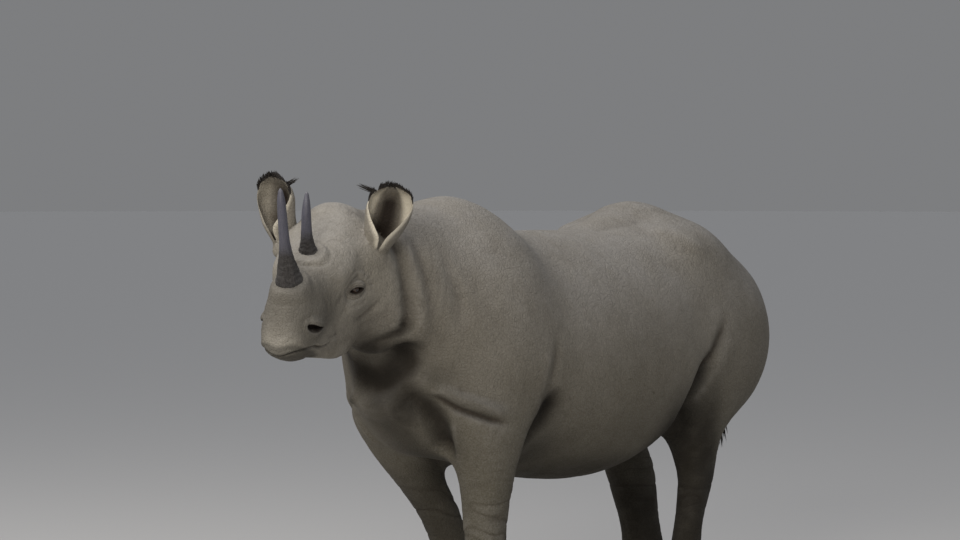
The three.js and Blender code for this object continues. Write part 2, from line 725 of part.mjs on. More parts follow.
function toenails({ rows, sole, turn: footTurn }, clear) {
  const [, , , half, front] = rows[1];
  return TOE.turns.map((turn) => {
    const side = Math.sin(degrees(turn)) * half * Math.sign(sole[0]);
    const ahead = Math.cos(degrees(turn)) * front;
    const [c, s] = [Math.cos(degrees(footTurn)), Math.sin(degrees(footTurn))];
    const [dx, dy] = [side * c + ahead * s, side * s - ahead * c];
    const [wide, thick, high] = TOE.half;
    const size = turn === 0 ? TOE.middle : 1;
    const nail = new THREE.SphereGeometry(1, 8, 6).scale(wide * size, thick, high);
    nail.rotateX(degrees(TOE.lean)).rotateZ(Math.atan2(dx, -dy));
    nail.translate(sole[0] + dx, sole[1] + dy, TOE.height);
    const ground = block([-FAR, -FAR, TOE.lift], [FAR, FAR, FAR]);
    return solid(nail).intersect(ground).subtract(clear);
  });
}

// ---- the head with its eyes, nostrils and mouth ----

const eyes = { left: eyeParts(1), right: eyeParts(-1) };
let head = solid(headSkin).intersect(before(headCut, half));
for (const eye of Object.values(eyes)) head = head.add(eye.lids).subtract(eye.slit).subtract(eye.room);
head = head.subtract(nostril(1)).subtract(nostril(-1)).subtract(mouthLine());

// ---- materials and assembly ----

const finish = (color, roughness) => new THREE.MeshStandardMaterial({ color, roughness, metalness: 0 });
const HIDE = finish(0x6a5f4e, 0.9);
const HORN = finish(0x3a322c, 0.6);
const NAIL = finish(0x4a443b, 0.7);
const EYEBALL = finish(0x120d0a, 0.12);

const animal = new THREE.Group();

function addNode(name, body, material) {
  const mesh = new THREE.Mesh(geometryOf(body), material);
  mesh.name = name;
  animal.add(mesh);
}

addNode("head", head, HIDE);
addNode("neck", neck, HIDE);
addNode("torso", torso, HIDE);
addNode("tail", tail(), HIDE);
addNode("horn_front", horn(FRONT_HORN), HORN);
addNode("horn_rear", horn(REAR_HORN), HORN);
for (const [name, side] of [["left", 1], ["right", -1]]) {
  addNode(`ear_${name}`, ear(side), HIDE);
  addNode(`eye_${name}`, eyes[name].ball, EYEBALL);
}
for (const [name, leg] of Object.entries(LEGS)) {
  const skin = netSkin(bodyForm, legGrid(leg));
  addNode(name, solid(skin).intersect(legBlock(leg, -half)), HIDE);
  toenails(leg, grown(skin)).forEach((nail, i) => {
    addNode(`${name.replace("leg", "toenail")}_${i + 1}`, nail, NAIL);
  });
}

// The origin is under the middle of the whole box, on the ground.
const box = new THREE.Box3().setFromObject(animal);
const middle = box.getCenter(vec());
animal.position.set(-middle.x, -middle.y, -box.min.z);

const rhinoceros = new THREE.Group();
rhinoceros.add(animal);

export default rhinoceros;
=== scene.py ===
import math

import bpy
import numpy as np
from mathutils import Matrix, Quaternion, Vector
from mathutils.bvhtree import BVHTree
from mathutils.kdtree import KDTree


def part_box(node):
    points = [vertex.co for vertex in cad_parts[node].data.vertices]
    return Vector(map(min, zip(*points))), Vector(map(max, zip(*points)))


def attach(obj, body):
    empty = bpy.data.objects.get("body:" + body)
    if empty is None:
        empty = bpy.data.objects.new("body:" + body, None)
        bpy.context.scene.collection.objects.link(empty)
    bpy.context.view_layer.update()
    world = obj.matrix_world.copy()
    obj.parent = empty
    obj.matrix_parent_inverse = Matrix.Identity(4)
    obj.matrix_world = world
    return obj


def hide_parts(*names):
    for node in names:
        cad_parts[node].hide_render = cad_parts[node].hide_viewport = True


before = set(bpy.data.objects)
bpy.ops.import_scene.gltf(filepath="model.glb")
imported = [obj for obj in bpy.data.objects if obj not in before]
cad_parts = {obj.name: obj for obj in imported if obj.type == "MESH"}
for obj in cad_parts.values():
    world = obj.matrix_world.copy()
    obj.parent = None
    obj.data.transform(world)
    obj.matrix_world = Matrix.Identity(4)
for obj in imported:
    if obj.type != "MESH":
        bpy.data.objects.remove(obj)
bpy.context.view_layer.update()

# ---- The room ----
# A plain, pale studio floor under the animal. Two wide, soft lamps stand ahead of it, one high up and to its
# right, one lower and to its left, and an even, cool light comes from above.

FLOOR_RADIUS = 60.0
FLOOR_SIDES = 96
FLOOR_TONE = (0.50, 0.49, 0.475, 1)
FLOOR_ROUGHNESS = 0.95
BACKDROP_TONE = (0.205, 0.208, 0.214, 1)
SKY_TONE = (0.86, 0.89, 0.95, 1)
LOW_SKY_TONE = (0.16, 0.16, 0.165, 1)
SKY_STRENGTH = 0.55
SKY_RISE = (-0.1, 0.75)  # how far up a look is turned where the sky starts and stops to brighten

turns = [math.tau * i / FLOOR_SIDES for i in range(FLOOR_SIDES)]
rim = [(FLOOR_RADIUS * math.cos(turn), FLOOR_RADIUS * math.sin(turn), 0) for turn in turns]
floor_mesh = bpy.data.meshes.new("floor")
floor_mesh.from_pydata(rim, [], [list(range(FLOOR_SIDES))])
floor = bpy.data.objects.new("floor", floor_mesh)
bpy.context.scene.collection.objects.link(floor)
floor_paint = bpy.data.materials.new("floor_paint")
floor_paint.use_nodes = True
floor_shader = floor_paint.node_tree.nodes["Principled BSDF"].inputs
floor_shader["Base Color"].default_value = FLOOR_TONE
floor_shader["Roughness"].default_value = FLOOR_ROUGHNESS
floor_mesh.materials.append(floor_paint)


def node(tree, kind, inputs=None, **settings):
    """A new node, with its inputs set to values or joined to other nodes' outputs."""
    made = tree.nodes.new(kind)
    for key, value in settings.items():
        setattr(made, key, value)
    for key, value in (inputs or {}).items():
        if isinstance(value, bpy.types.NodeSocket):
            tree.links.new(value, made.inputs[key])
        else:
            made.inputs[key].default_value = value
    return made


def mixed(tree, share, first, second):
    """A colour between two others."""
    made = node(tree, "ShaderNodeMix", {0: share, 6: first, 7: second}, data_type="RGBA")
    return made.outputs[2]


def spread(tree, value, low, high, to_low=0.0, to_high=1.0):
    """A value's range from low to high brought to another range, with soft ends."""
    made = node(tree, "ShaderNodeMapRange", {0: value, 1: low, 2: high, 3: to_low, 4: to_high},
                interpolation_type="SMOOTHSTEP")
    return made.outputs[0]


world = bpy.data.worlds.new("even_light")
bpy.context.scene.world = world
world.use_nodes = True
sky = world.node_tree
background = sky.nodes["Background"]
upright = node(sky, "ShaderNodeSeparateXYZ", {0: node(sky, "ShaderNodeTexCoord").outputs["Generated"]})
sky_light = mixed(sky, spread(sky, upright.outputs["Z"], *SKY_RISE), LOW_SKY_TONE, SKY_TONE)
seen = node(sky, "ShaderNodeLightPath").outputs["Is Camera Ray"]
backdrop = tuple(tone / SKY_STRENGTH for tone in BACKDROP_TONE[:3]) + (1,)
sky.links.new(mixed(sky, seen, sky_light, backdrop), background.inputs["Color"])
background.inputs["Strength"].default_value = SKY_STRENGTH


def lamp(name, place, aim, size, watts, colour):
    """A round, soft lamp, with its place, the place it points at and its size in metres."""
    light = bpy.data.lights.new(name, "AREA")
    light.shape = "DISK"
    light.size = size
    light.energy = watts
    light.color = colour
    thing = bpy.data.objects.new(name, light)
    thing.location = place
    thing.rotation_euler = (Vector(aim) - Vector(place)).to_track_quat("-Z", "Y").to_euler()
    bpy.context.scene.collection.objects.link(thing)


lamp("top_lamp", (-1.6, -3.4, 6.8), aim=(0, 0, 1.0), size=4.5, watts=250, colour=(1.0, 0.97, 0.94))
lamp("front_lamp", (3.2, -8.2, 4.0), aim=(0, -0.6, 1.1), size=3.6, watts=300, colour=(1.0, 0.96, 0.90))

# The camera stands ahead and to the animal's left, a little above the level of its eyes.
CAMERA_AZIMUTH = math.radians(37)
CAMERA_RISE = math.radians(4)
CAMERA_DISTANCE = 14.0
CAMERA_SIGHT = 200  # how far the camera sees, which is past the floor's edge
PIXELS_PER_METRE = 258
FRAME_WIDTH = 960  # pixels
SENSOR_WIDTH = 36  # millimetres
WATCHED = Vector((0, 0.2981, 0.9))
WATCHED_AT = (68, 101)  # pixels right of and below the middle of the frame

level = Vector((math.sin(CAMERA_AZIMUTH), -math.cos(CAMERA_AZIMUTH), 0))
back = level * math.cos(CAMERA_RISE) + Vector((0, 0, math.sin(CAMERA_RISE)))
right = Vector((math.cos(CAMERA_AZIMUTH), math.sin(CAMERA_AZIMUTH), 0))
upward = back.cross(right)
aim = WATCHED - right * WATCHED_AT[0] / PIXELS_PER_METRE + upward * WATCHED_AT[1] / PIXELS_PER_METRE
lens = bpy.data.cameras.new("camera")
lens.sensor_width = SENSOR_WIDTH
lens.lens = CAMERA_DISTANCE * PIXELS_PER_METRE * SENSOR_WIDTH / FRAME_WIDTH
lens.clip_end = CAMERA_SIGHT
camera = bpy.data.objects.new("camera", lens)
camera.location = WATCHED + back * CAMERA_DISTANCE
camera.rotation_euler = (aim - camera.location).to_track_quat("-Z", "Y").to_euler()
bpy.context.scene.collection.objects.link(camera)
bpy.context.scene.camera = camera
bpy.context.scene.view_settings.view_transform = "Standard"

# ---- The body under the hide ----
# The flesh of the trunk, neck, head and legs is one rounded mass. It is modelled over the solid parts and
# rounded off, the tail and the stems of the ears are added, and all that follows is pressed and pulled into
# its surface.

FLESH = ["torso", "neck", "head", "leg_front_left", "leg_front_right", "leg_hind_left", "leg_hind_right"]
COARSE = 0.013  # cell of the first casting, over the solids
FINE = 0.005  # cell of the second one, with the tail and the ears' stems
ROUNDING = 46  # rounds of smoothing of the first casting, at half strength
RETURNING = 14  # rounds of smoothing of the way back to the solids' size
FINE_ROUNDING = 6  # rounds of smoothing of the second casting
HEAD_SPARED = 0.88  # shares of the rounding that the head and the feet don't get
FEET_SPARED = 0.8
REACH = 0.06  # how far the surface may be drawn in by the rounding
TAIL_ROOT = [(0, 1.25, 1.25)]
TAIL_PLACES = [(0, 1.343, 1.262), (0, 1.405, 1.248), (0, 1.466, 1.138), (0, 1.476, 0.951), (0, 1.466, 0.764),
               (0, 1.470, 0.640)]
TAIL_GIRTH = [0.05, 0.044, 0.034, 0.026, 0.021, 0.017, 0.011]
TAIL_STEP = 0.012
TUBE_SIDES = 24
EAR_STEM = [(0.112, 0.150, -0.178), (0.098, 0.172, -0.128), (0.085, 0.181, -0.094)]  # in the head's frame
EAR_STEM_GIRTH = [0.030, 0.052, 0.050, 0.016]
EAR_STEM_SHARES = [0, 0.3, 0.6, 1]  # of the stem's length, one for each girth
EAR_STEM_RINGS = 15
EAR_STEM_STEP = 0.006


def heading(origin, turn, drop, tilt):
    """A frame's origin and its directions forward, left and up, turned and dropped by degrees."""
    yaw, pitch = math.radians(turn), math.radians(drop)
    along = Vector((math.sin(yaw) * math.cos(pitch), -math.cos(yaw) * math.cos(pitch), -math.sin(pitch)))
    left = Quaternion(along, math.radians(-tilt)) @ Vector((math.cos(yaw), math.sin(yaw), 0))
    return np.array(origin), np.array([along, left, along.cross(left)])


# The head's frame starts at the crown, between the ears, and points down the face to the nose.
HEAD_DROP = 30
HEAD_FRAME = heading((0.022, -0.9989, 1.577), turn=18.5, drop=HEAD_DROP, tilt=5)


def in_head(points):
    """Points of the room in the head's frame."""
    return (points - HEAD_FRAME[0]) @ HEAD_FRAME[1].T


def from_head(places):
    """Places of the head's frame in the room."""
    return HEAD_FRAME[0] + np.asarray(places, float) @ HEAD_FRAME[1]


def ramp(values, low, high):
    """0 below low, 1 above high, and a smooth rise between."""
    t = np.clip((values - low) / (high - low), 0, 1)
    return t * t * (3 - 2 * t)


def hump(distance, width):
    """1 at no distance, falling off to near 0 at twice the width."""
    return np.exp(-(distance / width) ** 2)


def band(distance, place, height, width):
    """A swelling along all places at one distance; a negative height makes a furrow."""
    return height * hump(distance - place, width)


def triangles(quads):
    """Four-sided faces cut in two."""
    return np.vstack([quads[:, [0, 1, 2]], quads[:, [0, 2, 3]]])


def arrays(mesh):
    """A mesh's points and triangles."""
    places = np.empty(len(mesh.vertices) * 3, np.float32)
    mesh.vertices.foreach_get("co", places)
    mesh.calc_loop_triangles()
    corners = np.empty(len(mesh.loop_triangles) * 3, np.int32)
    mesh.loop_triangles.foreach_get("vertices", corners)
    return places.reshape(-1, 3).astype(float), corners.reshape(-1, 3).astype(np.int64)


def merged(name):
    """A solid part's points and triangles, its loose corners joined."""
    places, corners = arrays(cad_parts[name].data)
    first, joined = np.unique(np.round(places * 1e5), axis=0, return_index=True, return_inverse=True)[1:]
    return places[first], joined.reshape(-1)[corners]


def gathered(parts):
    """Several sets of points and triangles as one."""
    starts = np.cumsum([0] + [len(points) for points, _ in parts])
    faces = [face + start for (_, face), start in zip(parts, starts)]
    return np.vstack([points for points, _ in parts]), np.vstack(faces)


def built(name, points, faces):
    """An object from arrays of points and of faces that all have as many corners."""
    mesh = bpy.data.meshes.new(name)
    mesh.vertices.add(len(points))
    mesh.vertices.foreach_set("co", points.astype(np.float32).ravel())
    mesh.loops.add(faces.size)
    mesh.loops.foreach_set("vertex_index", faces.astype(np.int32).ravel())
    mesh.polygons.add(len(faces))
    mesh.polygons.foreach_set("loop_start", np.arange(0, faces.size, faces.shape[1], dtype=np.int32))
    mesh.update(calc_edges=True)
    mesh.polygons.foreach_set("use_smooth", np.ones(len(faces), bool))
    thing = bpy.data.objects.new(name, mesh)
    bpy.context.scene.collection.objects.link(thing)
    return thing


def modified(thing, *modifiers):
    """The object's mesh after some modifiers; the object itself is dropped."""
    for kind, settings in modifiers:
        modifier = thing.modifiers.new("shape", kind)
        for key, value in settings.items():
            setattr(modifier, key, value)
    mesh = bpy.data.meshes.new_from_object(thing.evaluated_get(bpy.context.evaluated_depsgraph_get()))
    bpy.data.objects.remove(thing)
    return mesh


def outer_shell(points, faces):
    """The largest connected surface, without the hollows inside it."""
    group = np.arange(len(points))
    links = np.vstack([faces[:, [0, 1]], faces[:, [1, 2]]])
    while True:
        low = np.minimum(group[links[:, 0]], group[links[:, 1]])
        lower = group.copy()
        np.minimum.at(lower, group[links[:, 0]], low)
        np.minimum.at(lower, group[links[:, 1]], low)
        while (lower[lower] != lower).any():
            lower = lower[lower]
        if (lower == group).all():
            break
        group = lower
    outer = group == np.bincount(group).argmax()
    renumbered = np.cumsum(outer) - 1
    return points[outer], renumbered[faces[outer[faces[:, 0]]]]


def cast(points, faces, size):
    """One closed surface over all the given ones, in even four-sided cells of a size."""
    mesh = modified(built("casting", points, faces), ("REMESH", {"mode": "VOXEL", "voxel_size": size}))
    places = np.empty(len(mesh.vertices) * 3, np.float32)
    mesh.vertices.foreach_get("co", places)
    corners = np.empty(len(mesh.loops), np.int32)
    mesh.loops.foreach_get("vertex_index", corners)
    bpy.data.meshes.remove(mesh)
    return outer_shell(places.reshape(-1, 3).astype(float), corners.reshape(-1, 4).astype(np.int64))


def side_keys(faces):
    """One number for each side of each face, made of the numbers of the two points that it joins."""
    sides = np.sort(np.stack([faces, np.roll(faces, -1, 1)], 2), axis=2)
    return sides[:, :, 0] * 2**32 + sides[:, :, 1]


def side_ends(keys):
    """The two points of each side."""
    return keys >> 32, keys & 0xFFFFFFFF


def edges_of(faces):
    """The pairs of points that an edge joins, each pair once."""
    return np.stack(side_ends(np.unique(side_keys(faces))), axis=1)


def around(values, edges):
    """The mean of each point's neighbours."""
    count = np.bincount(edges.ravel(), minlength=len(values))
    values = values.reshape(len(values), -1)
    total = np.empty_like(values)
    for i in range(values.shape[1]):
        total[:, i] = np.bincount(edges[:, 0], values[edges[:, 1], i], len(values))
        total[:, i] += np.bincount(edges[:, 1], values[edges[:, 0], i], len(values))
    return total / np.maximum(count, 1)[:, None]


def rounded_off(points, edges, rounds, share):
    """The points drawn toward their neighbours' mean by a share of the way, in each of several rounds."""
    share = np.broadcast_to(share, len(points))[:, None]
    for _ in range(rounds):
        points = points + share * (around(points, edges) - points)
    return points


def outward(points, faces):
    """The surface's direction at each point."""
    across = np.cross(points[faces[:, 1]] - points[faces[:, 0]], points[faces[:, 2]] - points[faces[:, 0]])
    total = np.zeros_like(points)
    for corner in range(3):
        for axis in range(3):
            total[:, axis] += np.bincount(faces[:, corner], across[:, axis], len(points))
    return total / np.maximum(np.linalg.norm(total, axis=1), 1e-12)[:, None]


def curve(knots, values, at):
    """A smooth curve through values given at knots."""
    knots, values, at = np.asarray(knots, float), np.asarray(values, float), np.asarray(at, float)
    slopes = np.gradient(values, knots, axis=0)
    i = np.clip(np.searchsorted(knots, at, side="right") - 1, 0, len(knots) - 2)
    span, t = knots[i + 1] - knots[i], (at - knots[i]) / (knots[i + 1] - knots[i])
    if values.ndim > 1:
        span, t = span[:, None], t[:, None]
    return ((2 * t**3 - 3 * t**2 + 1) * values[i] + (t**3 - 2 * t**2 + t) * span * slopes[i]
            + (3 * t**2 - 2 * t**3) * values[i + 1] + (t**3 - t**2) * span * slopes[i + 1])


def through(places, step):
    """Places at even steps on a smooth curve through the given ones."""
    places = np.asarray(places, float)
    knots = np.concatenate([[0], np.cumsum(np.linalg.norm(np.diff(places, axis=0), axis=1))])
    return curve(knots, places, np.linspace(0, knots[-1], max(int(knots[-1] / step), 2) + 1))


def unit(vectors):
    return vectors / np.linalg.norm(vectors, axis=-1, keepdims=True)


def between_rings(rows, count):
    """The four-sided faces between rows of points, each row a closed ring of so many."""
    i, j = [g.ravel() for g in np.meshgrid(np.arange(rows - 1) * count, np.arange(count), indexing="ij")]
    k = (j + 1) % count
    return np.stack([i + j, i + k, i + count + k, i + count + j], axis=1)


def closed_rings(rows, count):
    """The triangles of a surface of rings that ends in one more point before the first and after the last."""
    ring, beside = np.arange(count), (np.arange(count) + 1) % count
    end = (rows - 1) * count
    caps = [np.stack([np.full(count, rows * count), beside, ring], 1),
            np.stack([np.full(count, rows * count + 1), end + ring, end + beside], 1)]
    return np.vstack([triangles(between_rings(rows, count)), *caps])


def swept(path, angles, radii):
    """A closed tube along a path. The radii are given for each place of the path and each angle."""
    ways = unit(np.gradient(path, axis=0))
    sides = [unit(np.cross(ways[0], (0.31, 0.95, 0.02)))]  # any direction that isn't the path's own
    for way in ways[1:]:
        sides.append(unit(sides[-1] - way * (sides[-1] @ way)))
    sides = np.array(sides)
    ups = np.cross(ways, sides)
    rings = (path[:, None] + sides[:, None] * (np.cos(angles) * radii)[..., None]
             + ups[:, None] * (np.sin(angles) * radii)[..., None])
    return np.vstack([rings.reshape(-1, 3), path[[0, -1]]]), closed_rings(*radii.shape)


def tube(path, radii):
    """A closed, round tube along a path, with one radius for each of its places."""
    angles = np.linspace(0, math.tau, TUBE_SIDES, endpoint=False)
    return swept(path, angles, radii[:, None] * np.ones(TUBE_SIDES))


solid_points, solid_faces = gathered([merged(name) for name in FLESH])
points, quads = cast(solid_points, solid_faces, COARSE)
edges = edges_of(quads)
ahead, _, height = in_head(points).T
head_share = ramp(ahead, -0.02, 0.06) * ramp(height, -0.50, -0.44)
foot_share = 1 - ramp(points[:, 2], 0.25, 0.62)
softness = 0.5 * (1 - HEAD_SPARED * head_share) * (1 - FEET_SPARED * foot_share)
points = rounded_off(points, edges, ROUNDING, softness)

# The rounding draws the surface in, so it is brought back to the solids' own size.
solids = BVHTree.FromPolygons(solid_points.tolist(), solid_faces.tolist())
for _ in range(2):
    facing = outward(points, triangles(quads))
    missing = np.zeros(len(points))
    for i, (start, way) in enumerate(zip(points + facing * REACH, -facing)):
        distance = solids.ray_cast(Vector(start), Vector(way), 2 * REACH)[3]
        missing[i] = REACH - distance if distance is not None else 0
    for _ in range(RETURNING):
        missing = around(missing, edges)[:, 0]
    points = points + facing * missing[:, None]

tail_path = through(TAIL_ROOT + TAIL_PLACES, TAIL_STEP)
girth = curve(np.linspace(0, 1, len(TAIL_GIRTH)), TAIL_GIRTH, np.linspace(0, 1, len(tail_path)))
added = [tube(tail_path, girth)]
stem_girth = curve(EAR_STEM_SHARES, EAR_STEM_GIRTH, np.linspace(0, 1, EAR_STEM_RINGS))
for side in (1, -1):
    stem = from_head(np.array(EAR_STEM) * (1, side, 1))
    added.append(tube(through(stem, EAR_STEM_STEP)[:EAR_STEM_RINGS], stem_girth))
points, quads = cast(*gathered([(points, triangles(quads)), *added]), FINE)
faces = triangles(quads)
points = rounded_off(points, edges_of(quads), FINE_ROUNDING, 0.5)

# ---- Folds and wrinkles of the hide ----
# The hide is a thick, bare skin that lies in deep folds where the body bends: round the neck, before and
# behind the shoulder, over the foreleg and before the thigh. Smaller creases ring the legs.

EYES = {"eye_left": 1, "eye_right": -1}  # each with its side of the head
EYE_NETS = (0.085, 0.045)  # distances from the eye within which the net is split once, and once more
MUZZLE = (0.585, 0, -0.225)
MUZZLE_NET = 0.185
FOLD_STEP = 0.006
WIDE_FOLD = 0.03  # a fold wider than this is a hollow, measured straight and not along the skin


def eye_centre(name):
    low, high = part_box(name)
    return (np.array(low) + np.array(high)) / 2


def reached(skin, start, way):
    """The place where a line from inside the body meets the skin."""
    return np.array(skin.ray_cast(Vector(start), Vector(way), 1.0)[0])


def finer(points, faces, centre, radius):
    """Splits the triangles within a radius in four, and those beside them so that no gap opens."""
    chosen = np.linalg.norm(points[faces].mean(1) - centre, axis=1) < radius
    keys, which = np.unique(side_keys(faces), return_inverse=True)
    which = which.reshape(-1, 3)
    split = np.zeros(len(keys), bool)
    split[which[chosen].ravel()] = True
    while (split[which].sum(1) == 2).any():
        split[which[split[which].sum(1) == 2].ravel()] = True
    middle = np.full(len(keys), -1)
    middle[split] = len(points) + np.arange(split.sum())
    first, second = side_ends(keys[split])
    points = np.vstack([points, (points[first] + points[second]) / 2])
    count = split[which].sum(1)
    a, b, c = faces[count == 3].T
    ab, bc, ca = middle[which[count == 3]].T
    quarters = [np.stack(corners, 1) for corners in ((a, ab, ca), (ab, b, bc), (ca, bc, c), (ab, bc, ca))]
    one = np.flatnonzero(count == 1)
    side = split[which[one]].argmax(1)
    a, b, c = [faces[one, (side + i) % 3] for i in range(3)]
    ab = middle[which[one, side]]
    halves = [np.stack(corners, 1) for corners in ((a, ab, c), (ab, b, c))]
    return points, np.vstack([faces[count == 0], *quarters, *halves])


# Primes that give each corner of the noise's cells a number of its own.
CLOUD_PRIMES = np.array([73856093, 19349663, 83492791])
SEED_PRIME, STIR_PRIME = 7919, 1274126177


def cloud(places, seed):
    """Smooth noise from 0 to 1, with features about one unit across."""
    base = np.floor(places).astype(np.int64)
    part = places - base
    part = part * part * (3 - 2 * part)
    total = np.zeros(len(places))
    for corner in range(8):
        step = np.array([corner & 1, corner >> 1 & 1, corner >> 2])
        key = (base + step) @ CLOUD_PRIMES + seed * SEED_PRIME
        key = (key ^ (key >> 13)) * STIR_PRIME & 0xFFFFFFFF
        share = np.prod(np.where(step, part, 1 - part), axis=1)
        total += share * ((key ^ (key >> 15)) & 0xFFFF) / 65535
    return total


def creased(places, seed):
    """Narrow lines of noise, 1 in the lines and near 0 between them."""
    return (1 - np.abs(2 * cloud(places, seed) - 1)) ** 6


def shaded(name, values, close=slice(None)):
    """Raises one of the skin's masks to some values, all over or at chosen points."""
    masks[name][close] = np.maximum(masks[name][close], values)


def press(line, width, depth, lip=0.0, toward=(0, 0, 1), ends=0.2, shade=1.0, shadow=0.0):
    """A crease in the skin along a line, with a swelling at its one side; a negative depth makes a ridge.

    It fades out over a share of its length at both ends, and is darkened with painted shade and painted
    shadow.
    """
    reach = 5 * width
    close = np.flatnonzero(((points > line.min(0) - reach) & (points < line.max(0) + reach)).all(1))
    if len(close) == 0:
        return
    ways = unit(np.gradient(line, axis=0))
    groups = np.array_split(close, len(close) // 20000 + 1)
    nearest = np.concatenate([((points[g][:, None] - line[None]) ** 2).sum(2).argmin(1) for g in groups])
    offset = points[close] - line[nearest]
    straight = np.linalg.norm(offset, axis=1)
    offset -= ways[nearest] * (offset * ways[nearest]).sum(1)[:, None]
    offset -= facing[close] * (offset * facing[close]).sum(1)[:, None]
    share = nearest / (len(line) - 1)
    beyond = np.maximum(straight - np.linalg.norm(offset, axis=1) - 2 * width, 0)
    fade = ramp(share, 0, ends) * (1 - ramp(share, 1 - ends, 1)) * hump(beyond, 2 * width)
    distance = straight if width > WIDE_FOLD else np.linalg.norm(offset, axis=1)
    across = offset @ unit(np.array(toward, float))
    swelling = hump(across - 1.9 * width, 1.2 * width) * hump(distance - np.abs(across), 2 * width)
    move = fade * (lip * swelling - depth * hump(distance, width))
    points[close] += facing[close] * move[:, None]
    # Painted shade darkens the fold itself, and painted shadow a wider band round it.
    shaded("crease", shade * fade * hump(distance, 0.8 * width), close)
    shaded("painted_shadow", shadow * fade * hump(distance, 1.25 * width), close)


# Places on the skin, from one end of a fold to the other, on the animal's left side. The brisket's knob and
# the far folds are on its right side, where the legs stand differently. The throat's hollow crosses over.
NECK_FOLD = [(0.13, -0.92, 1.49), (0.203, -0.868, 1.407), (0.222, -0.845, 1.31), (0.217, -0.824, 1.227),
             (0.205, -0.80, 1.15), (0.19, -0.77, 1.07)]
JAW_FOLD = [(0.214, -0.815, 1.18), (0.189, -0.812, 1.117), (0.151, -0.855, 1.085), (0.103, -0.872, 1.065),
            (0.0, -0.865, 1.03)]
SECOND_FOLD = [(0.12, -0.80, 1.53), (0.235, -0.775, 1.40), (0.262, -0.745, 1.25), (0.25, -0.715, 1.12),
               (0.19, -0.72, 1.01)]
THIRD_FOLD = [(0.20, -0.66, 1.46), (0.285, -0.645, 1.33), (0.31, -0.625, 1.19), (0.30, -0.63, 1.06)]
HALF_THROAT = [(0.20, -0.80, 1.10), (0.165, -0.775, 1.04), (0.12, -0.75, 0.99), (0.06, -0.735, 0.95)]
THROAT_HOLLOW = HALF_THROAT + [(0.0, -0.73, 0.93)] + [(-x, y, z) for x, y, z in HALF_THROAT[::-1]]
CHEST_HOLLOW = [(0.08, -0.735, 0.90), (0.13, -0.70, 0.86), (0.17, -0.64, 0.80), (0.18, -0.60, 0.73),
                (0.165, -0.56, 0.66), (0.14, -0.53, 0.60)]
CHEST_FOLD = [(0.15, -0.69, 0.88), (0.208, -0.648, 0.863), (0.252, -0.598, 0.826), (0.316, -0.533, 0.795),
              (0.349, -0.474, 0.775), (0.373, -0.39, 0.76)]
CHEST_RIDGE = [(0.15, -0.69, 0.855), (0.173, -0.674, 0.862), (0.219, -0.644, 0.889), (0.270, -0.592, 0.862),
               (0.318, -0.535, 0.836), (0.355, -0.464, 0.808), (0.375, -0.39, 0.79)]
BRISKET_KNOB = [(-0.09, -0.73, 0.875), (-0.134, -0.71, 0.848), (-0.18, -0.68, 0.825)]
FAR_CHEST_FOLD = [(-0.02, -0.50, 0.66), (-0.06, -0.40, 0.62), (-0.081, -0.30, 0.583), (-0.10, -0.22, 0.55)]
LEG_RIDGE = [(0.245, -0.60, 0.82), (0.232, -0.585, 0.74), (0.215, -0.555, 0.66), (0.20, -0.53, 0.57)]
ELBOW_FOLD = [(0.385, -0.255, 0.80), (0.402, -0.225, 0.90), (0.417, -0.20, 1.0), (0.412, -0.168, 1.12)]
ARMPIT = [(0.28, -0.23, 0.49), (0.32, -0.24, 0.60), (0.342, -0.24, 0.69), (0.360, -0.20, 0.77),
          (0.383, -0.18, 0.84), (0.398, -0.16, 0.90)]
FAR_ARMPIT = [(-0.28, -0.11, 0.52), (-0.32, -0.135, 0.60), (-0.345, -0.155, 0.69), (-0.36, -0.15, 0.77),
              (-0.383, -0.14, 0.86)]
HIP_HOLLOW = [(0.05, 0.38, 1.45), (0.09, 0.54, 1.47), (0.13, 0.70, 1.48), (0.15, 0.86, 1.47)]
HIP_RIDGE = [(0.20, 0.64, 1.45), (0.262, 0.74, 1.43), (0.325, 0.80, 1.385), (0.36, 0.88, 1.33)]
THIGH_FOLD = [(0.436, 0.92, 1.14), (0.436, 0.845, 1.03), (0.424, 0.765, 0.90), (0.395, 0.72, 0.80),
              (0.33, 0.72, 0.72)]
FLANK_HOLLOW = [(0.432, 0.82, 0.98), (0.412, 0.75, 0.865), (0.375, 0.725, 0.77), (0.294, 0.78, 0.68),
                (0.20, 0.79, 0.62)]
FAR_FLANK_HOLLOW = [(-0.432, 0.84, 0.98), (-0.412, 0.80, 0.865), (-0.375, 0.80, 0.77), (-0.30, 0.83, 0.68)]
BUTTOCK_FOLD = [(0.06, 1.38, 0.98), (0.10, 1.345, 0.86), (0.14, 1.28, 0.76)]
TAIL_CLEFT = [(0, 1.36, 1.20), (0, 1.40, 1.08), (0, 1.38, 0.95), (0, 1.28, 0.80)]

# Directions in which the swelling beside a fold lies.
ABOVE, BEHIND, BEFORE, BESIDE, BEHIND_ABOVE = (0, 0, 1), (0, 1, 0), (0, -1, 0), (1, 0, 0), (0, 1, 0.2)
